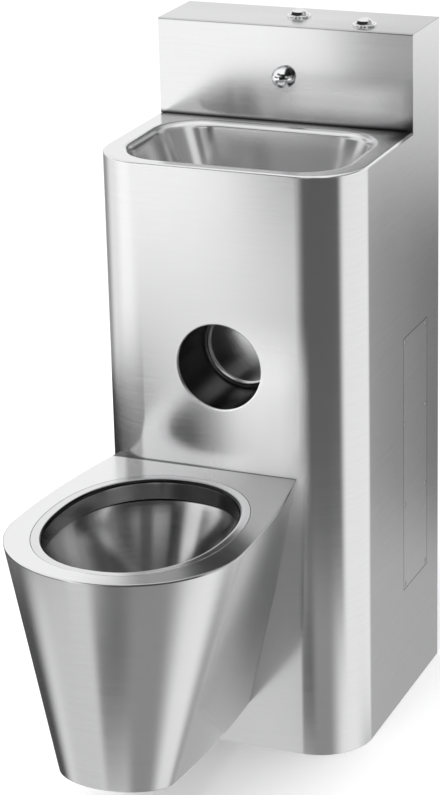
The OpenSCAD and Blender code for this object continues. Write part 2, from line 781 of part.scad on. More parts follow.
module waste_gasket() {
    color(RUBBER) translate([0, bowl_y, floor_z - sheet_t - gasket_t])
        tube(waste_flange_r - 2, waste_tail_r + running, gasket_t);
}
module waste_nut() {
    nut_h = 8;
    color(CHROME) translate([0, bowl_y, floor_z - sheet_t - gasket_t - nut_h]) difference() {
        cylinder(r = waste_flange_r, h = nut_h, $fn = 6);
        translate([0, 0, -cut]) cylinder(r = waste_tail_r + running, h = nut_h + 2 * cut);
    }
}

// Basin trap: down, round a bend, up a little and back to the wall
waste_bend = 35;
waste_rise = 20;
waste_drop = 60;
waste_lap = 5;
trap_top_z = floor_z - waste_tail + waste_lap;
waste_low_z = trap_top_z - waste_drop;
waste_out_z = waste_low_z + waste_rise + waste_bend;
module basin_trap_path(r) {
    up_y = bowl_y + 2 * waste_bend;
    translate([0, bowl_y, waste_low_z]) cylinder(r = r, h = trap_top_z - waste_low_z);
    translate([0, bowl_y + waste_bend, waste_low_z]) arc_rod(ARC_YZ, r, waste_bend, 180, 180);
    translate([0, up_y, waste_low_z]) cylinder(r = r, h = waste_rise);
    translate([0, up_y + waste_bend, waste_low_z + waste_rise]) arc_rod(ARC_YZ, r, waste_bend, 90, 90);
    translate([0, up_y + waste_bend, waste_out_z]) rotate(TO_BACK)
        cylinder(r = r, h = y_back - up_y - waste_bend);
}
module basin_trap() {
    color(CHROME) difference() {
        basin_trap_path(waste_r);
        basin_trap_path(waste_r - sheet_t);
    }
}
module basin_trap_nut() {
    grip = 8;
    lap = 6;
    color(CHROME) translate([0, bowl_y, trap_top_z - grip]) difference() {
        cylinder(r = waste_r + 5, h = grip + lap);
        translate([0, 0, -cut]) cylinder(r = waste_r + running, h = grip + cut);
        cylinder(r = waste_tail_r + running, h = grip + lap + cut);
    }
}

// Outline of the pan from above: an ellipse in front, then sides that draw in towards the cabinet
// and run on straight behind its face
arc_steps = 20;
side_steps = 6;
function pan_side_points(half, reach, mid, back_half, behind) = concat(
    [for (i = [0 : arc_steps]) let (t = 90 * i / arc_steps) [half * sin(t), mid + (reach - mid) * cos(t)]],
    [for (i = [1 : side_steps]) let (f = i / side_steps) [half + (back_half - half) * f * f, mid * (1 - f)]],
    [[back_half - 2 * (half - back_half) / mid * behind, -behind]]);
function both_sides(right) = concat(
    [for (p = right) [p[0], -p[1]]],
    [for (i = [len(right) - 1 : -1 : 1]) [-right[i][0], -right[i][1]]]);
function pan_plan(inset, behind) = both_sides(pan_side_points(
    pan_half - inset, pan_reach - inset, pan_mid, pan_back_half - inset, behind));
function base_plan(inset, behind) = both_sides(pan_side_points(
    pan_base_half - inset, pan_base_reach - inset, pan_base_mid, pan_base_back_half - inset, behind));

// Outline of the pan's opening, drawn out by grow: a rounded egg
egg_steps = 64;
egg_power = 2.2;
function bulge(v) = sign(v) * pow(abs(v), 2 / egg_power);
function egg(grow) = [for (i = [0 : egg_steps - 1])
    let (t = 360 * i / egg_steps, s = sin(t), run = s > 0 ? mouth_front - mouth_mid : mouth_mid - mouth_back)
    [(mouth_half + grow) * bulge(cos(t)), -mouth_mid - (run + grow) * bulge(s)]];

// Tapered form of the pan between its rim and its rising underside
module skirt_form(inset) {
    rim = pan_rim_z - sheet_t;
    rise_angle = atan(pan_base_rise);
    hull() {
        translate([pan_x, y_face, rim - slab]) linear_extrude(slab + inset) polygon(pan_plan(inset, corner_r));
        translate([pan_x, y_face, pan_base_z + inset]) rotate([-rise_angle, 0, 0])
            linear_extrude(slab) polygon(base_plan(inset, corner_r));
    }
}

// Outer wall and underside of the pan, open at the top and towards the cabinet
module pan_skirt() {
    color(STEEL) difference() {
        skirt_form(0);
        skirt_form(sheet_t);
        cabinet_block(rim_z);
    }
}

// Top sheet of the pan, fitted round the cabinet's left corner
groove = 16;
module pan_rim_plate() {
    color(STEEL) translate([0, 0, pan_rim_z - sheet_t]) linear_extrude(sheet_t) difference() {
        translate([pan_x, y_face]) polygon(pan_plan(0, corner_r));
        translate([pan_x, y_face]) polygon(egg(groove));
        cabinet_plan(0);
    }
}

// Ring round the opening, whose band hangs inside and covers the water channel
module pan_rim_ring() {
    color(STEEL) translate([pan_x, y_face, 0]) {
        translate([0, 0, pan_rim_z - sheet_t]) linear_extrude(sheet_t) difference() {
            polygon(egg(groove - seam));
            polygon(egg(0));
        }
        translate([0, 0, pan_rim_z - band_h]) linear_extrude(band_h) difference() {
            polygon(egg(sheet_t));
            polygon(egg(0));
        }
    }
}

// Inner bowl: an upright wall round the channel, then a cone that leads to the trap
wall_h = 50;
waist_rise = 72;
waist_half = 95;
waist_run = 110;
waist_u = 225;
module bowl_cone(inset) {
    channel_z = pan_rim_z - sheet_t - wall_h;
    hull() {
        translate([0, 0, channel_z - slab]) linear_extrude(slab) polygon(egg(channel_w + sheet_t - inset));
        translate([0, -waist_u, sump_z + waist_rise]) linear_extrude(slab) waist(inset);
    }
    hull() {
        translate([0, -waist_u, sump_z + waist_rise]) linear_extrude(slab) waist(inset);
        translate([0, -sump_u, sump_z - (inset > 0 ? slab : 0)])
            cylinder(r = trap_r - inset, h = slab, $fn = 48);
    }
}
module waist(inset) {
    polygon([for (i = [0 : egg_steps - 1]) let (t = 360 * i / egg_steps)
        [(waist_half - inset) * cos(t), (waist_run - inset) * sin(t)]]);
}
module pan_bowl() {
    channel_z = pan_rim_z - sheet_t - wall_h;
    color(STEEL) difference() {
        translate([pan_x, y_face, 0]) {
            translate([0, 0, channel_z - slab]) linear_extrude(wall_h + slab) polygon(egg(channel_w + sheet_t));
            bowl_cone(0);
        }
        translate([pan_x, y_face, 0]) {
            translate([0, 0, channel_z - slab]) linear_extrude(wall_h + slab + cut) polygon(egg(channel_w));
            bowl_cone(sheet_t);
        }
        translate([pan_x, y_face - mouth_back + channel_w + sheet_t + cut, flush_in_z]) rotate(TO_FRONT)
            cylinder(r = flush_pipe_r - 1, h = 2 * channel_w);
    }
}

// Trap of the pan, welded from three pieces: a bend that dips below the sump, an elbow that turns back
// over the weir, and a tail that leads to the soil outlet
soil_socket = 40;
trap_end = 45;
module pan_trap_path(r) {
    translate([pan_x, y_face - sump_u + trap_bend, sump_z]) arc_rod(ARC_YZ, r, trap_bend, 180, 180);
}
module pan_trap() {
    color(STEEL) difference() {
        pan_trap_path(trap_r);
        pan_trap_path(trap_r - sheet_t);
    }
}
module pan_trap_elbow_path(r) {
    translate([pan_x, y_face - sump_u + 3 * trap_bend, sump_z]) arc_rod(ARC_YZ, r, trap_bend, 90, 90);
}
module pan_trap_elbow() {
    color(STEEL) difference() {
        pan_trap_elbow_path(trap_r);
        pan_trap_elbow_path(trap_r - sheet_t);
    }
}
module pan_trap_tail() {
    color(STEEL) translate([pan_x, y_face - sump_u + 3 * trap_bend, soil_z]) rotate(TO_BACK)
        tube(trap_r, trap_r - sheet_t, sump_u - 3 * trap_bend + trap_end);
}

// Plate that closes the pan towards the cabinet and carries its studs
module pan_back_plate() {
    low = pan_base_z + 3 * sheet_t;
    high = pan_rim_z - 2 * sheet_t;
    low_half = pan_base_back_half - 2 * sheet_t;
    high_half = pan_back_half - 3 * sheet_t;
    color(STEEL) difference() {
        translate([pan_x, y_face, 0]) rotate(TO_FRONT) linear_extrude(back_plate_t)
            polygon([[-low_half, low], [low_half, low], [high_half, high], [-high_half, high]]);
        face_holes(y_face - back_plate_t - cut, back_plate_t + 2 * cut, stud_r + running);
    }
}

// Plate behind the cabinet's face that spreads the pan's load
module pan_backing_plate() {
    half_w = 86;
    low = 100;
    color(DARK_STEEL) difference() {
        translate([pan_x - half_w, y_face + sheet_t, low])
            cube([2 * half_w, backing_t, flush_in_z + grommet_r + 15 - low]);
        face_holes(y_face + sheet_t - cut, backing_t + 2 * cut, stud_hole_r);
    }
}

// Studs of the pan, each with its washer and nut inside the cabinet
stud_tail = 16;
washer_h = 2;
module pan_studs() {
    color(CHROME) for (p = stud_places)
        translate([pan_x + p[0], y_face - back_plate_t, p[1]]) rotate(TO_BACK)
            cylinder(r = stud_r, h = back_plate_t + sheet_t + backing_t + stud_tail);
}
module pan_nuts() {
    nut_h = 10;
    color(CHROME) for (p = stud_places)
        translate([pan_x + p[0], y_face + sheet_t + backing_t, p[1]]) rotate(TO_BACK) difference() {
            union() {
                cylinder(r = 2 * stud_r, h = washer_h);
                cylinder(r = 1.8 * stud_r, h = washer_h + nut_h, $fn = 6);
            }
            translate([0, 0, -cut]) cylinder(r = stud_r + running, h = washer_h + nut_h + 2 * cut);
        }
}

// Soil pipe: a socket over the trap's end, a cone and the outlet at the wall
soil_start = 12;
socket_wall = 5;
cone_len = 30;
soil_wall = 2;
module soil_pipe() {
    body = cabinet_d - soil_start - soil_socket - cone_len;
    color(STEEL) translate([pan_x, y_face + soil_start, soil_z]) rotate(TO_BACK) difference() {
        union() {
            cylinder(r = trap_r + socket_wall, h = soil_socket);
            translate([0, 0, soil_socket]) cylinder(r1 = trap_r + socket_wall, r2 = soil_r, h = cone_len);
            translate([0, 0, soil_socket + cone_len]) cylinder(r = soil_r, h = body);
        }
        translate([0, 0, -cut]) cylinder(r = trap_r + slip, h = soil_socket + cut);
        translate([0, 0, soil_socket]) cylinder(r1 = trap_r + slip, r2 = soil_r - soil_wall, h = cone_len);
        translate([0, 0, soil_socket + cone_len]) cylinder(r = soil_r - soil_wall, h = body + cut);
    }
}

// Rubber ring between the trap's end and the soil pipe's socket
module soil_gasket() {
    color(RUBBER) translate([pan_x, y_face + soil_start - 5, soil_z]) rotate(TO_BACK)
        tube(trap_r + socket_wall, trap_r + running, 5);
}

cabinet_shell();
upstand_cover();
basin_bowl();
paper_recess();
access_panel();
access_frame();
access_screws();
frame_upright_left();
frame_upright_right();
frame_rail_top();
frame_rail_middle();
frame_rail_bottom();
frame_bolts();
floor_angle_left();
floor_angle_right();
spout_nozzle();
spout_washer();
spout_nut();
basin_feed_pipe();
basin_button();
basin_plunger();
basin_spring();
basin_collar();
basin_valve_washer();
basin_valve_body();
flush_button();
flush_plunger();
flush_spring();
flush_collar();
flush_valve_washer();
flush_valve_body();
basin_riser_pipe();
flush_riser_pipe();
basin_stopcock_body();
basin_stopcock_ball();
basin_stopcock_spindle();
flush_stopcock_body();
flush_stopcock_ball();
flush_stopcock_spindle();
flush_pipe();
flush_grommet();
waste_strainer();
waste_gasket();
waste_body();
waste_nut();
basin_trap();
basin_trap_nut();
pan_skirt();
pan_rim_plate();
pan_rim_ring();
pan_bowl();
pan_trap();
pan_trap_elbow();
pan_trap_tail();
pan_back_plate();
pan_backing_plate();
pan_studs();
pan_nuts();
soil_gasket();
soil_pipe();
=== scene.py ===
"""Toilet and basin combination unit in satin stainless steel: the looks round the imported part.

Shapes are worked out in millimetres and put into the meshes in metres.
"""
import json

import bmesh
import bpy
import numpy as np
from mathutils import Matrix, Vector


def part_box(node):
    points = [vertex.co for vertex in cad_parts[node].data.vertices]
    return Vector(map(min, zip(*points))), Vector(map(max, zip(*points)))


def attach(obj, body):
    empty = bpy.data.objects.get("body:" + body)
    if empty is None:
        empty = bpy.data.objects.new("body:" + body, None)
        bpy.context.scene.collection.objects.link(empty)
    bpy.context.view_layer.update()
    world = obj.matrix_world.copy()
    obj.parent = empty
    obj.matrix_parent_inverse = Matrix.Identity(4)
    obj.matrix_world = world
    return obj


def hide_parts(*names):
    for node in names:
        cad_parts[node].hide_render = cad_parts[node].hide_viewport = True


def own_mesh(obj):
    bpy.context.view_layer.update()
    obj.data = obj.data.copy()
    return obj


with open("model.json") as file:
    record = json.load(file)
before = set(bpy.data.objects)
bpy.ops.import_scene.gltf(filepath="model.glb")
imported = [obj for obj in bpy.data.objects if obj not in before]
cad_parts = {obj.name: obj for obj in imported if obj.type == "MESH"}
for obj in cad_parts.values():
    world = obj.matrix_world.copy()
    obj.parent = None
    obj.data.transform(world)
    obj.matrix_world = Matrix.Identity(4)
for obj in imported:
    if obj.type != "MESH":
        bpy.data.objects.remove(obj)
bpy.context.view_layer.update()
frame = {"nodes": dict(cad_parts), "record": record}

MM = 0.001
X, Y, Z = 0, 1, 2
FULL_TURN = 2 * np.pi
scene = bpy.context.scene
slot_of = {row["node"]: row["material_slot"] for row in frame["record"]["subparts"]}
body_of = {node: body for body, held in frame["record"]["behaviour"]["bodies"].items() for node in held}

# Measures that the pieces share with the part's source, in millimetres
SHEET = 1.5
SIDE, FACE, UPSTAND, BACK = 200.0, 18.0, 290.0, 410.0
CORNER = 82.0
RIM, TOP = 890.0, 1035.0
DECK_EDGE = 5.0
PAPER_Z, PAPER_R, PAPER_DEPTH = 596.0, 64.0, 104.5
BUTTONS = {"basin": (0.0, 356.0), "flush": (114.0, 325.0)}
SPOUT_Z, SPOUT_R = 958.0, 17.0
BOWL_Y = 152.5
MOUTH_HALF, MOUTH_CORNER = (177.0, 119.5), 79.0
PAN_X, PAN_RIM, MOUTH_MIDDLE = -28.0, 440.0, 219.0
# The pan's plan at the rim and at the underside: half width at its widest, reach of the tip in front of the
# cabinet, how far in front the widest place lies, half width at the cabinet
PAN_TOP = (172.0, 428.0, 268.0, 144.0)
PAN_BASE = (85.0, 388.0, 327.0, 63.0)


def add_object(name, data):
    """An object at the origin that holds the data."""
    made = bpy.data.objects.new(name, data)
    scene.collection.objects.link(made)
    return made


def stand(item, right, top, back, place):
    """Stands an item at a place in metres, with its three axes along the ways right, top and back."""
    turn = np.eye(4)
    turn[:3, 0], turn[:3, 1], turn[:3, 2], turn[:3, 3] = right, top, back, place
    item.matrix_world = Matrix(turn.tolist())


# Camera
def aim_camera():
    """The camera stands as the photograph was taken: the eye lies behind the aim along the view, and the axes
    are turned by yaw, tilted by pitch, then rolled. Lengths are in millimetres."""
    yaw, pitch, roll = np.radians([23.124, 19.542, -1.485])
    focal_px, frame_px, shift_px, sensor = 2684.03, 795.0, -40.0, 36.0
    aim = np.array([0.0, 214.0, 520.0])
    slide_right, slide_up, distance = -75.454, 23.957, 4029.99
    view = np.array([-np.sin(yaw) * np.cos(pitch), np.cos(yaw) * np.cos(pitch), -np.sin(pitch)])
    level = np.array([np.cos(yaw), np.sin(yaw), 0.0])
    up = np.cross(level, view)
    right = np.cos(roll) * level + np.sin(roll) * up
    top = -np.sin(roll) * level + np.cos(roll) * up
    eye = aim + slide_right * right + slide_up * top - distance * view
    lens = bpy.data.cameras.new("studio_camera")
    lens.sensor_width = sensor
    lens.lens = focal_px / frame_px * sensor
    lens.shift_y = shift_px / frame_px
    lens.clip_end = 50
    scene.camera = add_object("studio_camera", lens)
    stand(scene.camera, right, top, -view, eye * MM)


aim_camera()


# Node trees
LEVEL_GRAIN = (0.02, 0.02, 1.0)
CROSS_GRAIN = (0.02, 1.0, 1.0)
EVEN_GRAIN = (1.0, 1.0, 1.0)


class Wire:
    """A value in a node tree. Each operator adds the Math node that works it out."""

    def __init__(self, sheet, socket):
        self.sheet = sheet
        self.socket = socket

    def math(self, operation, other):
        return self.sheet.math(operation, self, other)

    def __add__(self, other):
        return self.math("ADD", other)

    def __sub__(self, other):
        return self.math("SUBTRACT", other)

    def __rsub__(self, other):
        return self.sheet.math("SUBTRACT", other, self)

    def __mul__(self, other):
        return self.math("MULTIPLY", other)

    __radd__ = __add__
    __rmul__ = __mul__


class NodeSheet:
    """A node tree that is written as calls: settings go on first, then the sockets get values or wires."""

    def __init__(self, tree):
        self.tree = tree
        tree.nodes.clear()

    def node(self, kind, settings=None, sockets=None):
        """A new node of a kind."""
        made = self.tree.nodes.new("ShaderNode" + kind)
        for name, value in (settings or {}).items():
            setattr(made, name, value)
        for name, value in (sockets or {}).items():
            if isinstance(value, Wire):
                self.tree.links.new(value.socket, made.inputs[name])
            else:
                made.inputs[name].default_value = value
        return made

    def math(self, operation, *values):
        """What a Math node makes of the values."""
        return self.wire("Math", {"operation": operation}, dict(enumerate(values)), 0)

    def wire(self, kind, settings=None, sockets=None, output=0):
        """The output of a new node, by its number or name."""
        return Wire(self, self.node(kind, settings, sockets).outputs[output])

    def parts(self, place):
        """The three coordinates of a place."""
        split = self.node("SeparateXYZ", None, {"Vector": place})
        return [Wire(self, split.outputs[axis]) for axis in (X, Y, Z)]

    def noise(self, place, scale, stretch=EVEN_GRAIN, detail=3.0):
        """Noise over a place that is stretched: small numbers draw it out along that axis."""
        drawn = self.wire("VectorMath", {"operation": "MULTIPLY"}, {0: place, 1: stretch})
        return self.wire("TexNoise", None, {"Vector": drawn, "Scale": scale, "Detail": detail})

    def spread(self, value, low, high, new_low=0.0, new_high=1.0):
        """Smooth step of a value from one range to another."""
        sockets = {"Value": value, "From Min": low, "From Max": high, "To Min": new_low, "To Max": new_high}
        return self.wire("MapRange", {"interpolation_type": "SMOOTHSTEP"}, sockets)

    def window(self, value, low, low_soft, high, high_soft):
        """One between two ends of a value: a smooth step up at the first less a smooth step at the second."""
        inside = self.spread(value, low - low_soft, low + low_soft)
        return inside - self.spread(value, high - high_soft, high + high_soft)

    def blend(self, factor, first, second):
        """Colour between two colours."""
        made = self.tree.nodes.new("ShaderNodeMix")
        made.data_type = "RGBA"
        for place, value in ((0, factor), (6, first), (7, second)):
            if isinstance(value, Wire):
                self.tree.links.new(value.socket, made.inputs[place])
            else:
                made.inputs[place].default_value = value if place == 0 else (*value, 1.0)
        return Wire(self, made.outputs[2])


def new_finish(name):
    """A material, its sheet and the place on the piece."""
    finish = bpy.data.materials.new(name)
    finish.use_nodes = True
    sheet = NodeSheet(finish.node_tree)
    return finish, sheet, sheet.wire("TexCoord", None, None, "Object")


def end_finish(sheet, kind, sockets):
    """Links a shader to the material's output."""
    sheet.node("OutputMaterial", None, {"Surface": sheet.wire(kind, None, sockets)})


def dimmed(tone, share):
    """A tone brought down to a share of itself."""
    return tuple(level * share for level in tone)


def meeting(sheet, place, spans):
    """One where all spans (axis, low, high, softness) in millimetres meet: the product of their windows."""
    along = sheet.parts(place)
    share = None
    for axis, low, high, soft in spans:
        inside = sheet.window(along[axis], low * MM, soft * MM, high * MM, soft * MM)
        share = inside if share is None else share * inside
    return share


def shaded(sheet, place, colour, tone, shades):
    """The colour, with painted shade: the tone brought down to a share of itself where the spans of a shade
    meet.
    """
    for share, *spans in shades:
        colour = sheet.blend(meeting(sheet, place, spans), colour, dimmed(tone, share))
    return colour


def brushed_steel(name, tone, rough, grain, stretch=0.6, shades=(), painted_sheen=()):
    """Ground stainless steel. grain draws the grinding marks out along its small number; stretch pulls the
    highlights across the marks; fine marks, wide streaks and wiped patches vary colour, gloss and relief.
    shades and painted_sheen list a share and its spans: where all of the spans meet, a painted shade brings
    the tone down to its share, and a painted sheen turns that share of the metal pale and matte, standing in
    for a bright reflection."""
    depth, smudge, turn, sheen_tone = 0.02, 0.05, 0.25, (0.9, 0.9, 0.905)
    finish, sheet, place = new_finish(name)
    fine = sheet.noise(place, 2600.0, grain, 2.0)
    streak = sheet.noise(place, 620.0, grain)
    wiped = sheet.noise(place, 5.0, (1.0, 1.0, 0.45))
    patch = sheet.noise(place, 21.0, detail=4.0)
    marks = fine * 0.5 + streak * 0.5
    lighter = tuple(min(1.0, level) for level in dimmed(tone, 1.02))
    colour = sheet.blend(sheet.spread(marks, 0.32, 0.68), dimmed(tone, 0.975), lighter)
    colour = shaded(sheet, place, colour, tone, shades)
    metal = 1.0
    for share, *spans in painted_sheen:
        sheen_share = meeting(sheet, place, spans)
        metal = 1.0 - sheen_share * share
        colour = sheet.blend(sheen_share, colour, sheen_tone)
    gloss = sheet.spread(marks, 0.3, 0.7, rough - 0.015, rough + 0.015)
    gloss = gloss + (wiped - 0.5) * smudge + (patch - 0.5) * (smudge * 0.5)
    relief = sheet.wire("Bump", None, {"Strength": depth, "Distance": 0.2 * MM, "Height": marks})
    end_finish(sheet, "BsdfPrincipled", {
        "Base Color": colour, "Metallic": metal, "Roughness": gloss, "Normal": relief,
        "Anisotropic": stretch, "Anisotropic Rotation": turn})
    return finish


def plated_metal(name, tone, rough, stain=0.1, shades=()):
    """Plated or drawn metal: cloudy gloss, fine pitting, darker stains, and painted shade where shades are
    given.
    """
    finish, sheet, place = new_finish(name)
    cloud = sheet.noise(place, 38.0, detail=4.0)
    pits = sheet.noise(place, 650.0, detail=2.0)
    colour = sheet.blend(sheet.spread(cloud, 0.35, 0.65), dimmed(tone, 1.0 - stain), tone)
    colour = shaded(sheet, place, colour, tone, shades)
    gloss = sheet.spread(cloud, 0.3, 0.7, rough + 0.04, rough) + (pits - 0.5) * 0.04
    relief = sheet.wire("Bump", None, {"Strength": 0.05, "Distance": 0.1 * MM, "Height": pits})
    end_finish(sheet, "BsdfPrincipled", {
        "Base Color": colour, "Metallic": 1.0, "Roughness": gloss, "Normal": relief})
    return finish


def moulded_rubber(name):
    """Black rubber with a dusty bloom and a fine moulded skin."""
    finish, sheet, place = new_finish(name)
    bloom = sheet.noise(place, 55.0, detail=5.0)
    skin = sheet.noise(place, 1400.0, detail=2.0)
    colour = sheet.blend(sheet.spread(bloom, 0.4, 0.7), (0.018, 0.018, 0.019), (0.05, 0.05, 0.052))
    relief = sheet.wire("Bump", None, {"Strength": 0.2, "Distance": 0.1 * MM, "Height": skin})
    end_finish(sheet, "BsdfPrincipled", {
        "Base Color": colour, "Roughness": sheet.spread(bloom, 0.3, 0.7, 0.5, 0.7), "Normal": relief})
    return finish


def steel(level):
    """Steel's tone at a level of lightness: a little more blue than red and green."""
    return (level, level, level + 0.005)


# Painted shade and painted sheen, for shadow and reflections: a share, then spans (axis, low, high,
# softness) in millimetres; FAR is past every edge
FAR = 500.0
NEAR_FACE = (Y, -FAR, FACE + 1.5, 1.5)
UPSTAND_FACE = (Y, -FAR, UPSTAND + 5.0, 2.0)
UPSTAND_TOP = (Z, TOP - 1.5, 1060.0, 0.3)
DECK_TOP = (Z, RIM - 4.5, RIM + 10.0, 1.0)
BAND = (Z, 300.0, PAN_RIM - 6.3, 0.4)
# Painted sheen: a pale, matte patch on the cabinet's front round and right of the paper recess, standing in
# for a bright reflection
painted_sheen_front = [(0.62, (X, -10.0, 132.0, 45.0), NEAR_FACE, (Z, 400.0, 630.0, 60.0))]
# Painted shade: darker lines along the service cover's edges, for the shade in the gap round it
cover_gap_shade = [(0.3, (axis, edge / MM - 1.1, edge / MM + 1.1, 0.3))
               for axis in (Y, Z) for edge in (corner[axis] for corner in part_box("access_panel"))]
# Painted shadow along the upstand's foot, painted reflection darkening its right end, and painted shade on
# its top, deeper to the right
upstand_shades = [
    (0.03, (Z, 870.0, RIM + 3.5, 3.5)),
    (0.5, (X, 190.0, 210.0, 12.0), UPSTAND_FACE, (Z, 870.0, 955.0, 30.0)),
    (0.82, UPSTAND_TOP), (0.62, (X, 100.0, 400.0, 100.0), UPSTAND_TOP)]
# Painted sheen: a pale, matte band across the upstand's front, standing in for a bright reflection
painted_sheen_upstand = [(0.3, (X, -20.0, 175.0, 50.0), UPSTAND_FACE, (Z, 905.0, 950.0, 16.0))]
# Painted shade inside the basin, on the deck's strip behind it and, darkest, in the deck's right back corner
deck_shades = [
    (0.85, (Z, 700.0, RIM - 4.5, 1.0)),
    (0.68, (X, -110.0, 300.0, 30.0), (Y, 263.0, 320.0, 2.0), DECK_TOP),
    (0.12, (X, 180.0, 210.0, 12.0), (Y, 235.0, 320.0, 20.0), DECK_TOP)]
# Painted shade on the rim's right part, and a painted shadow where the rim meets the cabinet's face
rim_shades = [(0.6, (X, 10.0, 400.0, 60.0)), (0.12, (Y, FACE - 4.0, FACE + 100.0, 2.0))]
# Painted shade on the hanging band, deeper across its back, and a painted dark line on the rolled lip
ring_shades = [
    (0.75, BAND), (0.35, (X, -90.0, 35.0, 25.0), (Y, -200.0, 200.0, 50.0), BAND),
    (0.03, (Z, PAN_RIM - 5.5, PAN_RIM - 0.7, 0.4))]
# Painted shade on the bowl's wall behind the hanging band, for the dark channel between them
bowl_channel_shade = [(0.03, (Z, 403.5, 450.0, 0.6))]
# Painted shade on the paper recess's wall
cup_shade = [(0.07, (Y, FACE + 4.0, FACE + 100.0, 3.0))]
# Painted reflection: a dark crescent on each button's crown
cap_painted_reflections = [(0.03, (X, x - 9.0, x + 9.0, 2.0), (Y, -FAR, FAR, 100.0), (Z, TOP + 3.4, TOP + 7.6, 0.5))
                 for x, _ in BUTTONS.values()]
# Painted reflections: dark patches on the spout's dome
dome_painted_reflections = [(0.03, (X, left, right, 1.2), (Z, SPOUT_Z + foot, SPOUT_Z + top, 1.2))
                for left, right, foot, top in (
                    (0, 5, 0, 4), (3, 9, 2, 8), (7, 17, 5, 15), (11, 17, -13, -5), (-17, -13, -4, 6))]

# Tone, roughness, grain, stretch of the highlights, painted shades, painted sheen
GROUND = {
    "satin_steel": (steel(0.72), 0.19, LEVEL_GRAIN, 0.6, (), painted_sheen_front),
    "cover_steel": (steel(0.72), 0.22, LEVEL_GRAIN, 0.6, cover_gap_shade),
    "upstand_steel": (steel(0.72), 0.17, LEVEL_GRAIN, 0.6, upstand_shades, painted_sheen_upstand),
    "deck_steel": (steel(0.78), 0.2, CROSS_GRAIN, 0.0, deck_shades),
    "rim_steel": (steel(0.82), 0.2, CROSS_GRAIN, 0.0, rim_shades),
    "pan_steel": (steel(0.72), 0.21, LEVEL_GRAIN),
    "ring_steel": (steel(0.72), 0.18, CROSS_GRAIN, 0.0, ring_shades),
    "bowl_steel": ((0.55, 0.55, 0.553), 0.17, LEVEL_GRAIN, 0.3, bowl_channel_shade),
    "cup_steel": (steel(0.85), 0.22, LEVEL_GRAIN, 0.3, cup_shade),
    "pipe_steel": ((0.6, 0.6, 0.61), 0.3, EVEN_GRAIN, 0.0),
}
# Tone, roughness, depth of the stains, painted shades
PLATED = {
    "frame_steel": ((0.5, 0.51, 0.53), 0.38, 0.2),
    "chrome": ((0.8, 0.8, 0.81), 0.08, 0.03),
    "cap_chrome": ((0.8, 0.8, 0.81), 0.1, 0.03, cap_painted_reflections),
    "dome_chrome": ((0.85, 0.85, 0.86), 0.08, 0.03, dome_painted_reflections),
    "fixings": ((0.6, 0.6, 0.6), 0.28, 0.12),
    "brass": ((0.72, 0.52, 0.24), 0.3, 0.25),
    "valve_steel": ((0.62, 0.62, 0.63), 0.22, 0.1),
    "spring_steel": ((0.45, 0.45, 0.47), 0.3, 0.15),
}
finishes = {name: brushed_steel(name, *look) for name, look in GROUND.items()}
finishes.update((name, plated_metal(name, *look)) for name, look in PLATED.items())
finishes["rubber"] = moulded_rubber("rubber")


# Meshes
def at_height(outline, z):
    """An outline of (x, y) rows laid at a height z, or at a height for each row."""
    return np.concatenate([outline, np.broadcast_to(np.reshape(z, (-1, 1)), (len(outline), 1))], axis=1)


def net(points, wrap=False, keep=None):
    """Four-sided faces over points[row, column]; they face along column step times row step.
    wrap joins the last column to the first, and keep says which faces stay."""
    rows, columns = points.shape[:2]
    index = np.arange(rows * columns).reshape(rows, columns)
    if wrap:
        index = np.concatenate([index, index[:, :1]], axis=1)
    faces = np.stack([index[:-1, :-1], index[:-1, 1:], index[1:, 1:], index[1:, :-1]], axis=-1)
    faces = faces.reshape(-1, 4) if keep is None else faces[keep]
    return points.reshape(-1, 3), faces


def settle(piece):
    """Puts what a piece's modifiers make into its mesh, and takes them off."""
    bpy.context.view_layer.update()
    done = bpy.data.meshes.new_from_object(piece.evaluated_get(bpy.context.evaluated_depsgraph_get()))
    piece.modifiers.clear()
    piece.data = done


def crease(piece, angle):
    """Smooth faces whose folds sharper than the angle stay crisp, led by the wide faces."""
    mesh = piece.data
    mesh.polygons.foreach_set("use_smooth", np.ones(len(mesh.polygons), dtype=bool))
    mesh.set_sharp_from_angle(angle=np.radians(angle))
    lead = piece.modifiers.new("lead", "WEIGHTED_NORMAL")
    lead.keep_sharp = True
    lead.weight = 90
    settle(piece)


SHEET_FOLD, COPY_FOLD = 32.0, 35.0
shaped = set()


def finish_piece(piece, finish, node):
    """Gives a piece its finish and the body of the CAD node that it stands for, and hides that node."""
    piece.data.materials.clear()
    piece.data.materials.append(finishes[finish])
    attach(piece, body_of[node])
    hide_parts(node)
    shaped.add(node)


def make_piece(name, nets, finish, node, wall=0.0):
    """Joins nets in millimetres into one piece that stands for a CAD node. wall is a sheet's thickness, set
    behind the nets' faces."""
    starts = np.cumsum([0] + [len(points) for points, _ in nets[:-1]])
    points = np.concatenate([points for points, _ in nets]) * MM
    faces = np.concatenate([faces + start for (_, faces), start in zip(nets, starts)])
    mesh = bpy.data.meshes.new(name)
    mesh.from_pydata(points.tolist(), [], faces.tolist())
    work = bmesh.new()
    work.from_mesh(mesh)
    bmesh.ops.remove_doubles(work, verts=work.verts, dist=0.02 * MM)
    bmesh.ops.dissolve_degenerate(work, edges=work.edges, dist=0.01 * MM)
    loose = [point for point in work.verts if not point.link_faces]
    bmesh.ops.delete(work, geom=loose, context="VERTS")
    work.to_mesh(mesh)
    work.free()
    piece = add_object(name, mesh)
    if wall:
        sheet = piece.modifiers.new("wall", "SOLIDIFY")
        sheet.thickness = wall * MM
        sheet.offset = -1.0
        sheet.use_even_offset = True
        settle(piece)
    crease(piece, SHEET_FOLD)
    finish_piece(piece, finish, node)


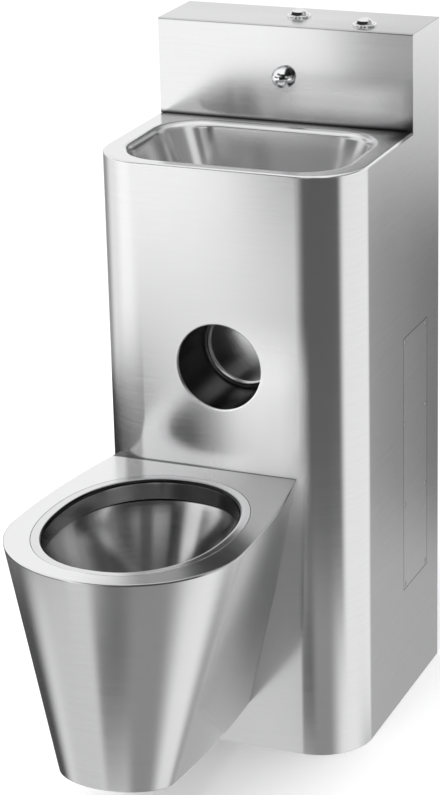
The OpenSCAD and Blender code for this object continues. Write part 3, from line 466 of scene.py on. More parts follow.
def polished_copy(node):
    """A CAD node's own form as one smooth-shaded mesh whose triangles are joined."""
    name = node + "_finished"
    mesh = frame["nodes"][node].data.copy()
    mesh.name = name
    work = bmesh.new()
    work.from_mesh(mesh)
    bmesh.ops.remove_doubles(work, verts=work.verts, dist=0.001 * MM)
    work.to_mesh(mesh)
    work.free()
    piece = add_object(name, mesh)
    crease(piece, COPY_FOLD)
    finish_piece(piece, slot_of[node], node)
    return piece


def ease_spring(piece):
    """Gives a spring a mesh of its own; its length stays as it is."""
    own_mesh(piece)


def turned(profile, steps=72, centre=(0.0, 0.0, 0.0), axis="up"):
    """Net of a profile of (radius, height) rows turned round an axis: radius times cosine and sine of the
    turn across the axis, height along it. The axis points up, front, back or right."""
    radius, height = np.asarray(profile, dtype=float).T
    turn = np.linspace(0.0, FULL_TURN, steps, endpoint=False)
    x = radius[:, None] * np.cos(turn)
    y = radius[:, None] * np.sin(turn)
    z = np.broadcast_to(height[:, None], x.shape)
    lay = {"up": (x, y, z), "front": (x, -z, y), "back": (x, z, -y), "right": (z, x, y)}[axis]
    return net(np.stack(lay, axis=-1) + np.asarray(centre), wrap=True)


def arc(centre, radius, start, end, steps):
    """Rows of a profile on an arc round a centre, from one angle in degrees to another."""
    angle = np.radians(np.linspace(start, end, steps))
    return np.stack([centre[0] + radius * np.cos(angle), centre[1] + radius * np.sin(angle)], axis=-1)


def lines(low, high, count, spots=()):
    """Grid lines between two ends, and closer ones in block and zone of each spot (place, block, zone)."""
    wide, near = np.linspace(low, high, count), [[low, high]]
    for place, block, zone in spots:
        wide = wide[np.abs(wide - place) > zone]
        around = np.linspace(block, zone, 5)
        near += [place + np.linspace(-block, block, 15), place + around, place - around]
    return np.unique(np.round(np.concatenate([wide] + near), 3))


def pierce(across, along, holes):
    """Moves a grid's points round holes (across, along, radius, block, zone): a square ring of points at the
    block goes to the circle, one at the zone stays, and those between are drawn from one to the other.
    Gives the moved grids and which faces stay."""
    middle_a = (across[:-1, :-1] + across[1:, 1:]) / 2
    middle_b = (along[:-1, :-1] + along[1:, 1:]) / 2
    keep = np.ones(middle_a.shape, dtype=bool)
    for a, b, radius, block, zone in holes:
        keep &= np.maximum(np.abs(middle_a - a), np.abs(middle_b - b)) > block
        step_a, step_b = across - a, along - b
        ring = np.maximum(np.abs(step_a), np.abs(step_b))
        share = np.clip((ring - block) / (zone - block), 0.0, 1.0)
        drawn = share + (1 - share) * radius / np.maximum(np.hypot(step_a, step_b), 0.001)
        across = np.where(ring < zone, a + step_a * drawn, across)
        along = np.where(ring < zone, b + step_b * drawn, along)
    return across, along, keep


def hole_lip(spots_a, spots_b, hole, place, depth_rows):
    """Rounded lip of a pierced hole: the circle's points carried along (inset, depth) rows. place turns
    across, along and depth into points."""
    a, b, radius, block, _ = hole
    side_a = spots_a[np.abs(spots_a - a) <= block + 0.001] - a
    side_b = spots_b[np.abs(spots_b - b) <= block + 0.001] - b
    rim_a = np.concatenate([np.full(len(side_b), block), side_a, np.full(len(side_b), -block), side_a])
    rim_b = np.concatenate([side_b, np.full(len(side_a), block), side_b, np.full(len(side_a), -block)])
    angle = np.unique(np.round(np.arctan2(rim_b, rim_a), 6))
    inset, depth = np.asarray(depth_rows, dtype=float).T
    reach = radius - inset[:, None]
    return net(place(a + reach * np.cos(angle), b + reach * np.sin(angle),
                     np.broadcast_to(depth[:, None], (len(depth), len(angle)))), wrap=True)


# Cabinet
def cabinet_wrap():
    """A sheet that follows the outline from the left back edge round the two front corners to the right back
    edge, as a grid of outline places times heights, with the round hole for the paper recess and the opening
    behind the service cover."""
    lip_roll, block, zone, gap, rise = 2.0, 67.0, 98.0, 0.4, 960.0
    paper = (0.0, PAPER_Z, PAPER_R + lip_roll, block, zone)
    low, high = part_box("access_panel")
    open_y = (low[Y] / MM - gap, high[Y] / MM + gap)
    open_z = (low[Z] / MM - gap, high[Z] / MM + gap)
    deck_join = RIM - DECK_EDGE
    flat = SIDE - CORNER
    left_y = np.array([BACK, 400.0, 350.0, UPSTAND + SHEET, 250.0, 180.0, 130.0, FACE + CORNER])
    right_y = np.unique([BACK, 400.0, open_y[1], open_y[0], UPSTAND + SHEET, 200.0, 150.0, FACE + CORNER])
    front_x = lines(-flat, flat, 9, [(0.0, block, zone)])
    turn = np.radians(np.linspace(180, 270, 41))[1:-1]
    left_arc = np.stack([-flat + CORNER * np.cos(turn), FACE + CORNER + CORNER * np.sin(turn)])
    right_arc = left_arc[:, ::-1] * np.array([[-1.0], [1.0]])
    plan = np.concatenate([
        np.stack([np.full(len(left_y), -SIDE), left_y]), left_arc,
        np.stack([front_x, np.full(len(front_x), FACE)]), right_arc,
        np.stack([np.full(len(right_y), SIDE), right_y])], axis=1)
    heights = np.unique(np.round(np.concatenate([
        lines(0.0, deck_join, 14, [(PAPER_Z, block, zone)]),
        open_z, [deck_join, rise, TOP - SHEET]]), 3))
    x = np.broadcast_to(plan[0], (len(heights), plan.shape[1]))
    y = np.broadcast_to(plan[1], x.shape)
    z = np.broadcast_to(heights[:, None], x.shape)
    on_face = y <= FACE + 0.001
    moved_x, moved_z, keep = pierce(x, z, [paper])
    middle_x, middle_y, middle_z = ((grid[:-1, :-1] + grid[1:, 1:]) / 2 for grid in (x, y, z))
    keep |= middle_y > FACE + 0.01
    in_opening = (middle_x > SIDE - 0.01) & (middle_y > open_y[0]) & (middle_y < open_y[1])
    in_opening &= (middle_z > open_z[0]) & (middle_z < open_z[1])
    keep &= ~in_opening
    keep &= (middle_z < deck_join) | (middle_y > UPSTAND + SHEET)
    points = np.stack([np.where(on_face, moved_x, x), y, np.where(on_face, moved_z, z)], axis=-1)
    lip_rows = [(lip_roll * np.sin(a), lip_roll * (1 - np.cos(a))) for a in np.radians([0, 22, 45, 68, 90])]

    def on_front(a, b, depth):
        """Across is x, along is z, and depth counts back from the face."""
        return np.stack([a, FACE + depth, b], axis=-1)

    lip = hole_lip(front_x, heights, paper, on_front, lip_rows)
    make_piece("cabinet_wrap", [net(points, keep=keep), lip], "satin_steel", "cabinet_shell", SHEET)


def service_cover():
    """Flat cover with a round hole at each screw, and the screws, turned round an axis to the right."""
    low, high = (np.array(corner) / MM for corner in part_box("access_panel"))
    inset, radius, block, zone = 8.0, 4.0, 4.2, 7.0
    rows = [low[Z] + inset + i * (high[Z] - low[Z] - 2 * inset) / 3 for i in range(4)]
    columns = (low[Y] + inset, high[Y] - inset)
    holes = [(y, z, radius, block, zone) for y in columns for z in rows]
    across = lines(low[Y], high[Y], 5, [(y, block, zone) for y in columns])
    along = lines(low[Z], high[Z], 12, [(z, block, zone) for z in rows])
    y, z = np.meshgrid(across, along)
    y, z, keep = pierce(y, z, holes)
    make_piece("service_cover", [net(np.stack([np.full(y.shape, SIDE), y, z], axis=-1), keep=keep)],
               "cover_steel", "access_panel", SHEET)
    profile = [(0, -6.4), (1.7, -6.4), (2, -6), (2, -1.2), (3.5, -1.2), (3.5, -0.35), (3.4, -0.1),
               (3.15, 0.0), (1.7, 0.0), (1.45, -0.12), (1.35, -0.8), (0, -1.0)]
    screws = [turned(profile, 24, (SIDE, y, z), "right") for y in columns for z in rows]
    make_piece("cover_screws", screws, "fixings", "access_screws")


def rounded_ring(left, right, front, back, corners, side_steps, corner_steps):
    """Closed outline against the clock from the right front, as matched sides and corners.
    corners are the radii at the right back, left back, left front and right front."""
    rb, lb, lf, rf = (max(radius, 0.05) for radius in corners)
    side = np.linspace(0, 1, side_steps, endpoint=False)[:, None]
    turn = np.linspace(0, np.pi / 2, corner_steps, endpoint=False)[:, None]
    parts = []
    stops = [((right, front + rf), (right, back - rb), (right - rb, back - rb), rb, 0.0),
             ((right - rb, back), (left + lb, back), (left + lb, back - lb), lb, np.pi / 2),
             ((left, back - lb), (left, front + lf), (left + lf, front + lf), lf, np.pi),
             ((left + lf, front), (right - rf, front), (right - rf, front + rf), rf, 1.5 * np.pi)]
    for start, end, centre, radius, first in stops:
        start, end, centre = np.array(start), np.array(end), np.array(centre)
        parts.append(start + (end - start) * side)
        parts.append(centre + radius * np.concatenate([np.cos(turn + first), np.sin(turn + first)], axis=1))
    return np.concatenate(parts)


# Basin
def bowl_ring(half_x, half_y, radius):
    """Rounded rectangle round the basin's middle, whose corners stay smaller than its half sides."""
    radius = min(radius, half_x - 0.5, half_y - 0.5)
    return rounded_ring(-half_x, half_x, BOWL_Y - half_y, BOWL_Y + half_y, [radius] * 4, 24, 18)


def deck_and_bowl():
    """Pressed sheet: rings run from under the rolled outer edge over the deck, down the rolled lip of the
    mouth, along the walls and the dished floor to the waste hole."""
    roll, lip, well, waste, floor_drop = 3.0, 14.0, 33.0, 16.6, 125.0
    rings = []

    def add(ring, z):
        """Lays the next ring at a height."""
        rings.append(at_height(ring, z))

    def outer(inset):
        """The cabinet's outline, drawn in by inset, with square corners at the upstand."""
        near = CORNER - inset
        return rounded_ring(-SIDE + inset, SIDE - inset, FACE + inset, UPSTAND + SHEET,
                            (0.05, 0.05, near, near), 24, 18)

    add(outer(0.0), RIM - DECK_EDGE)
    for angle in np.radians(np.linspace(0, 90, 7)):
        add(outer(roll * (1 - np.cos(angle))), RIM - roll + roll * np.sin(angle))
    flat_in, flat_out = bowl_ring(*MOUTH_HALF, MOUTH_CORNER), outer(roll)
    for share in (0.12, 0.5, 0.88):
        add(flat_out + (flat_in - flat_out) * share, RIM)
    for angle in np.radians(np.linspace(0, 66, 12)):
        inset, drop = lip * np.sin(angle), lip * (1 - np.cos(angle))
        add(bowl_ring(MOUTH_HALF[0] - inset, MOUTH_HALF[1] - inset, MOUTH_CORNER - inset), RIM - drop)
    # Half width, half depth, corner and drop at the mouth, the wall's foot, the bend and the dished floor
    mouth = np.array([MOUTH_HALF[0] - inset, MOUTH_HALF[1] - inset, MOUTH_CORNER - inset, drop])
    foot = np.array([136.0, 94.5, 58.0, 85.0])
    bend = np.array([129.0, 90.0, 60.0, 112.0])
    dish = np.array([66.0, 50.0, 44.0, 122.5])
    walled = 0.86
    for share in np.linspace(0.03, walled, 10):
        *size, drop = mouth + (foot - mouth) * share
        add(bowl_ring(*size), RIM - drop)
    start = mouth + (foot - mouth) * walled
    for share in np.linspace(0.06, 1, 14):
        *size, drop = (1 - share) ** 2 * start + 2 * share * (1 - share) * bend + share ** 2 * dish
        add(bowl_ring(*size), RIM - drop)
    outside, inside = bowl_ring(*dish[:3]), bowl_ring(well, well, well)
    for share in (0.5, 1.0):
        add(outside + (inside - outside) * share, RIM - dish[3] - (floor_drop - dish[3]) * share)
    add(bowl_ring(waste, waste, waste), RIM - floor_drop)
    make_piece("deck_and_bowl", [net(np.stack(rings), wrap=True)], "deck_steel", "basin_bowl", SHEET)


# Upstand
def upstand_sheet():
    """Front and top in one fold: a path up the front, round a small bend and back, drawn across the unit,
    with holes under the spout and the two buttons."""
    bend, block, zone = 3.0, 17.0, 25.0
    front_run = TOP - bend - RIM
    back_start = front_run + bend * np.pi / 2
    total = back_start + BACK - UPSTAND - bend
    spout_hole, button_hole = 8.6, 16.2
    spots = [(0.0, SPOUT_Z - RIM, spout_hole, 9.0, 15.0)]
    spots += [(x, back_start + y - UPSTAND - bend, button_hole, block, zone) for x, y in BUTTONS.values()]
    across = np.unique(np.round(np.concatenate([
        lines(-SIDE, SIDE, 21, [(x, block, zone) for x, _ in BUTTONS.values()]),
        [-15.0, -13.0, -11.0, -9.0, 9.0, 11.0, 13.0, 15.0]]), 3))
    along = np.unique(np.round(np.concatenate([
        lines(0.0, total, 12, [(place, near, far) for _, place, _, near, far in spots]),
        np.linspace(front_run, back_start, 7)]), 3))
    u, v = np.meshgrid(across, along)
    u, v, keep = pierce(u, v, spots)
    angle = np.clip((v - front_run) / bend, 0, np.pi / 2)
    y = UPSTAND + bend * (1 - np.cos(angle)) + np.maximum(v - back_start, 0)
    z = RIM + np.minimum(v, front_run) + bend * np.sin(angle)
    make_piece("upstand_sheet", [net(np.stack([u, y, z], axis=-1), keep=keep)],
               "upstand_steel", "upstand_cover", SHEET)


def paper_cup():
    """Cup turned round the roll's axis: back plate, rounded corner, wall and a flange behind the face."""
    reach, soft, gap = PAPER_R + 0.4, 9.0, 0.7
    rows = np.concatenate([
        [(0.0, PAPER_DEPTH), (20.0, PAPER_DEPTH), (40.0, PAPER_DEPTH)],
        arc((reach - soft, PAPER_DEPTH - soft), soft, 90, 0, 9),
        [(reach, 60.0), (reach, 30.0), (reach, gap + 0.5), (reach + 0.4, gap), (PAPER_R + 12.0, gap)]])
    make_piece("paper_cup", [turned(rows, 96, (0, FACE + 2 * SHEET - gap, PAPER_Z), "back")],
               "cup_steel", "paper_recess", SHEET - 0.1)


def spout():
    """Half ball with its jet hole, laid out from the jet's axis: circles round that axis grow from the hole
    to the ball's foot; then the rim, the bore and the tail."""
    jet, foot, steps = 3.5, 3.0, 72
    jet_edge = jet + 0.6
    down = np.radians(45)
    axis = np.array([0, -np.cos(down), -np.sin(down)])
    over = np.array([0, -np.sin(down), np.cos(down)])
    side = np.cross(over, axis)
    ring = np.linspace(0, FULL_TURN, steps, endpoint=False)
    start = np.arcsin(jet_edge / SPOUT_R)
    end = np.arctan2(1.0, -np.cos(ring))
    angle = start + (end - start) * np.linspace(0, 1, 28)[:, None]
    way = np.cos(ring)[:, None] * over + np.sin(ring)[:, None] * side
    ball = SPOUT_R * (np.cos(angle)[..., None] * axis + np.sin(angle)[..., None] * way)
    sit = np.sqrt(SPOUT_R ** 2 - jet_edge ** 2)
    bore = np.stack([np.tile(axis * (np.sqrt(SPOUT_R ** 2 - jet ** 2) - 7.2), (steps, 1))] + [
        way * reach + axis * (sit + depth) for reach, depth in (
            (jet - 0.3, -7.0), (jet, -6.0), (jet, -0.9), (jet + 0.12, -0.45), (jet + 0.35, -0.15))])
    rim = ball[-1] + np.array([0, 1.0, 0]) * np.linspace(0, foot, 4)[1:, None, None]
    closing = np.tile([[0.0, foot, 0.0]], (steps, 1))[None]
    points = np.concatenate([bore, ball, rim, closing]) + np.array([0, UPSTAND - foot, SPOUT_Z])
    dome = net(points[:, ::-1], wrap=True)
    profile = [(0, -26), (7.4, -26), (8, -25.4), (8, -0.2), (0, -0.2)]
    tail = turned(profile, 48, (0, UPSTAND, SPOUT_Z), "front")
    make_piece("spout_dome", [dome, tail], "dome_chrome", "spout_nozzle")


def buttons():
    """Each button is a crown cut from a ball, with a rounded shoulder, in a stepped collar whose barrel goes
    below. Both are turned round the button's axis."""
    crown, reach, step = 8.5, 14.0, 3.0
    for name, (x, y) in BUTTONS.items():
        centre = (x, y, TOP)
        ball = (reach ** 2 + crown ** 2) / (2 * crown)
        angle = np.linspace(np.arcsin((reach - 0.9) / ball), 0, 14)
        top = np.stack([ball * np.sin(angle), step + crown - ball + ball * np.cos(angle)], axis=-1)
        side = [(0, -8), (reach - 0.4, -8), (reach, -7.6), (reach, step - 0.4), (reach - 0.15, step + 0.35)]
        make_piece(name + "_push_cap", [turned(np.concatenate([side, top]), centre=centre)],
                   "cap_chrome", name + "_button")
        rows = [(reach + 0.2, -18), (reach + 2, -18), (reach + 2, 0.02), (reach + 4, 0.02), (reach + 4, 1.8),
                (reach + 3.7, 2.5), (reach + 3.1, 2.9), (reach + 2.4, 3.0), (reach + 0.9, 3.0),
                (reach + 0.4, 2.8), (reach + 0.2, 2.3), (reach + 0.2, -18)]
        make_piece(name + "_ring_collar", [turned(rows, centre=centre)], "chrome", name + "_collar")


# Pan
def bulge(value):
    """A sine or cosine made fuller: its size to the power of two by 2.2, with its own sign."""
    return np.sign(value) * np.abs(value) ** (2.0 / 2.2)


def egg(grow, angle):
    """Outline of the mouth drawn out by grow: a bulged cosine across and a bulged sine along, whose run in
    front of the middle differs from the run behind it. It goes against the clock seen from above."""
    half, front_run, back_run = 126.0, 165.0, 160.0
    along = -np.sin(angle)
    run = np.where(along > 0, front_run, back_run) + grow
    return np.stack([PAN_X + (half + grow) * bulge(np.cos(angle)),
                     FACE - MOUTH_MIDDLE - run * bulge(along)], axis=-1)


def ease_in(half, reach, mid, back_half):
    """Angle by which a plan leans in where it meets the cabinet."""
    return np.arctan(2 * (half - back_half) / mid)


def pan_edge(half, reach, mid, back_half, lean, drawn=0.0):
    """Places (across, in front of the cabinet) on a plan of the pan where its wall faces given ways: half an
    ellipse in front of the widest place, a parabola behind it. lean is the angle of the wall's facing, from
    straight back of right through the front to straight back of left. drawn carries a place straight on."""
    facing = np.abs(lean)
    slope = 2.0 * (half - back_half) / mid
    tilt = np.maximum(facing - np.pi / 2, 0.0)
    share = np.tan(np.minimum(tilt, np.arctan(slope))) / slope
    side_x = half + (back_half - half) * share ** 2
    side_u = mid * (1 - share)
    front = np.minimum(facing, np.pi / 2)
    run = reach - mid
    size = np.hypot(half * np.sin(front), run * np.cos(front))
    front_x = half ** 2 * np.sin(front) / size
    front_u = mid + run ** 2 * np.cos(front) / size
    x = np.where(tilt > 0, side_x, front_x)
    u = np.where(tilt > 0, side_u, front_u)
    return np.stack([np.sign(lean) * (x - slope * drawn), u - drawn], axis=-1)


def cabinet_front(x):
    """How far in front of the face the cabinet's outline lies at x; behind it at the round corners."""
    over = np.maximum(np.abs(x) - (SIDE - CORNER), 0.0)
    return -(CORNER - np.sqrt(np.maximum(CORNER ** 2 - over ** 2, 0.0)))


def pan_wall():
    """Foot and top of the tapered wall's straight lines, which join the plans where both face the same way.
    The foot rises toward the front. Lines that end behind the cabinet's face are drawn straight on."""
    plate, foot_z, rise, ends, drawn_far = 1.6, 69.0, 0.11, 7, 82.0
    top_ease, base_ease = ease_in(*PAN_TOP), ease_in(*PAN_BASE)
    half_lean = np.concatenate([
        np.linspace(0, np.pi / 2, 49), np.pi / 2 + np.linspace(0, base_ease, 12)[1:],
        np.pi / 2 + np.linspace(base_ease, top_ease, 8)[1:], np.full(ends, np.pi / 2 + top_ease)])
    drawn_top = np.concatenate([np.zeros(len(half_lean) - ends), np.linspace(4, 26, ends)])
    past = np.maximum(half_lean - np.pi / 2 - base_ease, 0) > 1e-6
    drawn_base = np.where(past, drawn_far, 0.0)
    lean = np.concatenate([-half_lean[::-1], half_lean[1:]])
    drawn_top, drawn_base = (np.concatenate([drawn[::-1], drawn[1:]]) for drawn in (drawn_top, drawn_base))
    base_end = np.pi / 2 + base_ease
    top = pan_edge(*PAN_TOP, lean, drawn_top)
    base = pan_edge(*PAN_BASE, np.clip(lean, -base_end, base_end), drawn_base)
    return at_height(base, foot_z + rise * base[:, 1]), at_height(top, PAN_RIM - SHEET - plate)


def pan_shell():
    """Wall and underside. Each straight line of the wall is cut off at the cabinet, at a place that twelve
    steps close in on; the underside closes the foot, with an edge rounded as a parabola."""
    low, high = pan_wall()
    edge_round, tiny = 2.0, 1e-6
    run = high[:, 1] - low[:, 1]
    run = np.where(np.abs(run) < tiny, tiny, run)
    cut = np.zeros(len(low))
    for _ in range(12):
        at = low + (high - low) * cut[:, None]
        limit = cabinet_front(at[:, 0] + PAN_X)
        cut = np.clip((limit - low[:, 1]) / run, 0.0, 1.0)
        cut = np.where(low[:, 1] >= limit, 0.0, cut)
    inside = high[:, 1] >= cabinet_front(high[:, 0] + PAN_X) - 0.5
    low, high, cut = low[inside], high[inside], cut[inside]
    start = low + (high - low) * cut[:, None]
    whole = cut < tiny
    wall = start + (high - start) * np.linspace(0, 1, 25)[:, None, None]
    wall = np.concatenate([wall[:1] + (wall[1:2] - wall[:1]) * 0.12, wall[1:]])
    edge = low[whole]
    middle = edge * np.array([0.0, 1.0, 1.0])
    inward = middle - edge
    size = np.maximum(np.linalg.norm(inward, axis=1, keepdims=True), tiny)
    under = edge + inward / size * edge_round
    steps = np.linspace(0, 1, 6)[:, None, None]
    rounding = (1 - steps) ** 2 * under + 2 * steps * (1 - steps) * edge + steps ** 2 * wall[0][whole]
    flat = middle + (under - middle) * np.linspace(0, 1, 5)[:, None, None]
    underside = np.concatenate([flat, rounding[1:]])
    nets = [net(np.stack([PAN_X + points[..., 0], FACE - points[..., 1], points[..., 2]], axis=-1))
            for points in (wall, underside)]
    make_piece("pan_shell", nets, "pan_steel", "pan_skirt", SHEET)


def rim_plate():
    """Flat rim sheet: rays from the mouth's middle run from the groove to the outline, which is the pan's own
    plan and, behind it, the cabinet's outline. The outer edge is rolled where it is free."""
    roll, groove = 1.6, 16.0
    lean = np.concatenate([np.linspace(0, np.pi / 2, 80),
                           np.pi / 2 + np.linspace(0, ease_in(*PAN_TOP), 30)[1:]])
    right = np.concatenate([pan_edge(*PAN_TOP, lean),
                            pan_edge(*PAN_TOP, np.full(40, lean[-1]), np.linspace(0.5, 40, 40))])
    plan = np.concatenate([right[::-1] * np.array([-1, 1]), right[1:]])
    x = plan[:, 0] + PAN_X
    free = plan[:, 1] >= cabinet_front(x)
    plan, x = plan[free], x[free]
    back_x = np.linspace(x[-1], x[0], 120)[1:-1]
    back = np.stack([back_x - PAN_X, cabinet_front(back_x)], axis=-1)
    step = np.concatenate([plan, back]) - np.array([0.0, MOUTH_MIDDLE])
    loose = np.concatenate([np.ones(len(plan)), np.zeros(len(back))])
    ray = np.mod(np.arctan2(-step[:, 1], step[:, 0]), FULL_TURN)
    corner_rays = ray[[0, len(plan) - 1]]
    order = np.argsort(ray)
    way = np.unique(np.round(np.concatenate([np.linspace(0, FULL_TURN, 181)[:-1], corner_rays]), 6))
    out = np.interp(way, ray[order], np.hypot(step[:, 0], step[:, 1])[order], period=FULL_TURN)
    is_loose = np.interp(way, ray[order], loose[order], period=FULL_TURN) > 0.5
    mouth = egg(groove, np.linspace(0, FULL_TURN, 2000, endpoint=False))
    mouth -= np.array([PAN_X, FACE - MOUTH_MIDDLE])
    mouth_ray = np.mod(np.arctan2(mouth[:, 1], mouth[:, 0]), FULL_TURN)
    order = np.argsort(mouth_ray)
    inner = np.hypot(mouth[:, 0], mouth[:, 1])[order]
    inner = np.interp(way, mouth_ray[order], inner, period=FULL_TURN)
    rows = [(out, np.where(is_loose, PAN_RIM - 3.0, PAN_RIM))]
    for turn in np.radians(np.linspace(0, 90, 5)):
        inset = np.where(is_loose, roll * (1 - np.cos(turn)), 0.0)
        drop = np.where(is_loose, roll * (1 - np.sin(turn)), 0.0)
        rows.append((out - inset, PAN_RIM - drop))
    for share in (0.06, 0.35, 0.65, 0.94, 1.0):
        rows.append((out - roll + (inner - out + roll) * share, PAN_RIM))
    rows.append((inner + 0.01, PAN_RIM - 1.0))
    points = np.stack([at_height(np.stack([
        PAN_X + reach * np.cos(way), FACE - MOUTH_MIDDLE + reach * np.sin(way)], axis=-1), z)
        for reach, z in rows])
    make_piece("rim_sheet", [net(points, wrap=True)], "rim_steel", "pan_rim_plate", 1.0)


def rim_ring():
    """Ring round the mouth: from the groove inward, over a rolled lip and down as the hanging band."""
    angle = np.linspace(0, FULL_TURN, 160, endpoint=False)
    roll, band = 6.0, 30.0
    rows = [(15.5, PAN_RIM - 1.4), (15.5, PAN_RIM - 0.5), (15.2, PAN_RIM), (13.0, PAN_RIM), (9.0, PAN_RIM)]
    rows += [(roll * (1 - np.sin(turn)), PAN_RIM - roll * (1 - np.cos(turn)))
             for turn in np.radians(np.linspace(0, 90, 9))]
    rows += [(0.0, PAN_RIM - 12.0), (0.0, PAN_RIM - 20.0), (0.0, PAN_RIM - band)]
    points = np.stack([at_height(egg(grow, angle), z) for grow, z in rows])
    make_piece("mouth_ring", [net(points, wrap=True)], "ring_steel", "pan_rim_ring", SHEET - 0.1)


def inner_bowl():
    """Bowl from the channel's wall down to the sump: levels of egg, ellipse and circle, with the bends
    between them eased by averaging each row with its neighbours."""
    channel, channel_foot = 12.0, 408.0
    angle = np.linspace(0, FULL_TURN, 160, endpoint=False)

    def ellipse(middle, half, run, z):
        """Cosine across and sine along, round a middle that lies in front of the face."""
        return at_height(np.stack([PAN_X + half * np.cos(angle), FACE - middle + run * np.sin(angle)],
                                  axis=-1), z)

    wall, foot = (at_height(egg(channel, angle), z) for z in (PAN_RIM - SHEET, channel_foot))
    waist = ellipse(225.0, 93.5, 108.5, 270.15)
    sump = ellipse(215.0, 36.5, 36.5, 198.15)
    steps = np.linspace(0, 1, 13)[:, None, None]
    rows = np.concatenate([wall + (foot - wall) * steps[:-1], foot + (waist - foot) * steps[:-1],
                           waist + (sump - waist) * steps])
    for _ in range(4):
        rows[1:-1] = rows[:-2] * 0.25 + rows[1:-1] * 0.5 + rows[2:] * 0.25
    make_piece("inner_bowl", [net(rows, wrap=True)], "bowl_steel", "pan_bowl", SHEET)


for make in (cabinet_wrap, service_cover, deck_and_bowl, upstand_sheet, paper_cup, spout, buttons,
             pan_shell, rim_plate, rim_ring, inner_bowl):
    make()
for node in frame["nodes"]:
    if node not in shaped:
        piece = polished_copy(node)
        if node.endswith("_spring"):
            ease_spring(piece)


# Studio
# Name of a card: level, azimuth window and height window, each as start, softness, end, softness. Azimuths
# are in degrees from the front toward the right, heights in metres. Later cards lie over earlier ones.
CARDS = {
    "left_rear_gap": (0.36, (-141, 9, -110, 14), (-9, 1, 0.85, 0.1)),
    "left_hot": (1.35, (-78, 14, -40, 14), (0.09, 0.03, 0.78, 0.08)),
    "front_flag": (0.13, (-10, 16, 77, 7), (-0.4, 0.08, 1.1, 0.05)),
    "upstand_hot": (1.28, (-40, 4, -21.2, 1.4), (0.3, 0.08, 0.9, 0.02)),
    "upstand_right": (0.45, (-20.3, 1.4, -8, 3), (0.4, 0.1, 0.92, 0.02)),
    "bowl_front": (0.04, (-12, 5, 66, 8), (0.83, 0.05, 1.24, 0.05)),
    "bowl_right": (0.22, (72, 6, 100, 6), (0.83, 0.05, 1.12, 0.05)),
    "bowl_left": (0.14, (-84, 8, -11, 3), (0.92, 0.04, 1.22, 0.05)),
    "bowl_glow": (1.2, (-38, 3, -22, 3), (0.88, 0.04, 1.16, 0.05)),
    "basin_back": (0.4, (-60, 10, -12, 4), (1.16, 0.05, 1.32, 0.04)),
    "basin_back_glow": (0.85, (-45, 8, -21, 1.5), (1.32, 0.04, 1.62, 0.06)),
    "deck_corner": (0.01, (-20.2, 1.2, -5, 2), (1.08, 0.05, 1.8, 0.08)),
    "basin_left_glow": (1.15, (38, 4, 64, 4), (1.24, 0.04, 1.6, 0.06)),
    "basin_left": (0.13, (20, 3, 40, 3), (1.12, 0.04, 1.6, 0.06)),
    "basin_right": (0.33, (64, 5, 128, 8), (1.12, 0.04, 1.66, 0.06)),
    "lip_shade": (0.1, (-62, 8, 32, 8), (1.84, 0.1, 2.7, 0.1)),
    "rear_high": (0.45, (66, 8, 165, 8), (1.66, 0.06, 2.7, 0.05)),
    "top_rear": (0.9, (-175, 5, -140, 8), (1.41, 0.03, 1.9, 0.1)),
    "side_card": (0.35, (149, 5, 185, 2), (-9, 1, 0.62, 0.3)),
    "side_low": (0.48, (149, 5, 185, 2), (-9, 1, -0.22, 0.15)),
    "side_back": (0.2, (156.5, 3.0, 185, 2), (-0.2, 0.12, 0.42, 0.14)),
    "near_floor_front": (0.75, (-62, 12, -14, 10), (-9, 1, -0.22, 0.08)),
    "near_floor": (0.33, (-11, 10, 60, 16), (-9, 1, -0.42, 0.1)),
    "skirt_shade": (0.06, (-14, 4, 14, 8), (-0.95, 0.06, -0.45, 0.1)),
    "skirt_front": (1.0, (-20, 5, 14, 8), (-9, 1, -0.86, 0.05)),
    "near_floor_right": (0.42, (117, 16, 150, 6), (-9, 1, -0.68, 0.08)),
    "low_left": (0.03, (-145, 5, -54, 16), (-0.35, 0.1, 0.08, 0.025)),
    "skirt_left": (0.08, (-150, 5, -76, 16), (-9, 1, -0.35, 0.1)),
    "low_left_strip": (0.1, (-95, 10, -28.5, 3.5), (-0.22, 0.05, 0.08, 0.025)),
}


def hidden_from(piece, *rays):
    """Switches a piece off for the named kinds of ray."""
    for ray in rays:
        setattr(piece, "visible_" + ray, False)


def light_tent():
    """A round wall of soft cards at one and a half metres, which only reflections see."""
    reach, foot, head, steps, open_level = 1.5, -1.6, 2.6, 96, 1.05
    turn = np.linspace(0, FULL_TURN, steps, endpoint=False)
    ring = np.stack([reach * np.cos(turn), reach * np.sin(turn)], axis=-1)
    points, faces = net(np.stack([at_height(ring, z) for z in (head, foot)]), wrap=True)
    mesh = bpy.data.meshes.new("light_tent")
    mesh.from_pydata(points.tolist(), [], faces.tolist())
    tent = add_object("light_tent", mesh)
    paint, sheet, place = new_finish("tent_cards")
    x, y, height = sheet.parts(place)
    azimuth = sheet.math("ARCTAN2", x, y * -1.0) * (180.0 / np.pi)
    level = open_level
    for shade, across, up in CARDS.values():
        level = level + (shade - level) * (sheet.window(azimuth, *across) * sheet.window(height, *up))
    end_finish(sheet, "Emission", {"Color": level, "Strength": 1.0})
    paint.cycles.emission_sampling = "NONE"
    mesh.materials.append(paint)
    hidden_from(tent, "camera", "diffuse", "shadow")


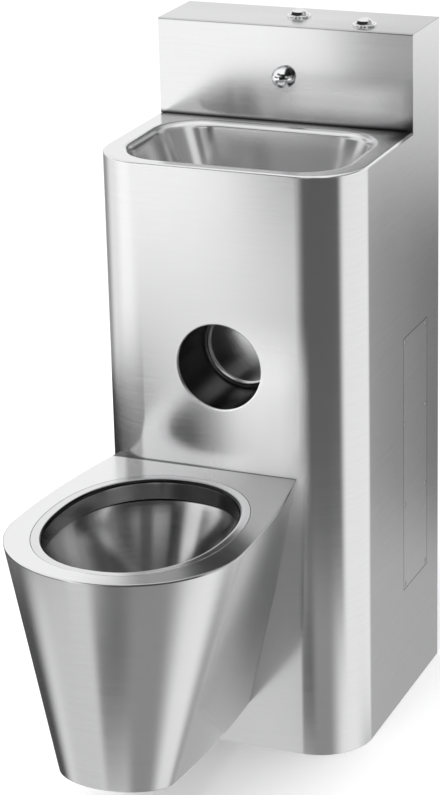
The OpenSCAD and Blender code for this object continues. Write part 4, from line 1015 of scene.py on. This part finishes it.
def white_floor():
    """A white floor that keeps the shadow, half a millimetre below the object."""
    half, below, white = 15.0, 0.5 * MM, (1.0, 1.0, 1.0, 1.0)
    mesh = bpy.data.meshes.new("studio_floor")
    corners = [[-half, -half, -below], [half, -half, -below], [half, half, -below], [-half, half, -below]]
    mesh.from_pydata(corners, [], [[0, 1, 2, 3]])
    floor = add_object("studio_floor", mesh)
    paint, sheet, place = new_finish("floor_paint")
    colour = sheet.blend(sheet.noise(place, 3.0), (0.93, 0.93, 0.93), (0.95, 0.95, 0.95))
    end_finish(sheet, "BsdfPrincipled", {
        "Base Color": colour, "Roughness": 0.9, "Emission Color": white, "Emission Strength": 0.12})
    mesh.materials.append(paint)
    hidden_from(floor, "glossy")


def studio_world():
    """A world that is white to the camera, dim to the steel below the horizon, nearly white to the rest."""
    world = bpy.data.worlds.new("studio_world")
    scene.world = world
    world.use_nodes = True
    world.cycles.sampling_method = "NONE"
    sheet = NodeSheet(world.node_tree)
    way = sheet.wire("TexCoord", None, None, "Generated")
    above = sheet.spread(sheet.parts(way)[Z], -0.2, 0.2)
    rays = sheet.node("LightPath")
    seen, glossy, through = (Wire(sheet, rays.outputs[name]) for name in (
        "Is Camera Ray", "Is Glossy Ray", "Is Transmission Ray"))
    round_about = sheet.blend(above, (0.45, 0.45, 0.45), (1.08, 1.08, 1.08))
    light = sheet.blend(glossy + through, (0.95, 0.95, 0.95), round_about)
    white = sheet.blend(seen, light, (1.0, 1.0, 1.0))
    shown = sheet.wire("Background", None, {"Color": white, "Strength": 1.0})
    sheet.node("OutputWorld", None, {"Surface": shown})


def soft_box():
    """A wide lamp above and in front, turned toward the cabinet's lower half; no reflection shows it."""
    lamp = bpy.data.lights.new("soft_box", "AREA")
    lamp.shape = "RECTANGLE"
    lamp.size, lamp.size_y = 3.2, 2.6
    lamp.energy = 80.0
    box = add_object("soft_box", lamp)
    place = np.array([-0.4, -1.6, 3.2])
    toward = np.array([0.0, 0.0, 0.4]) - place
    toward /= np.linalg.norm(toward)
    side = np.cross([0, 0, 1.0], toward)
    side /= np.linalg.norm(side)
    stand(box, side, np.cross(-toward, side), -toward, place)
    hidden_from(box, "glossy")


light_tent()
white_floor()
studio_world()
soft_box()
scene.view_settings.view_transform = "Standard"
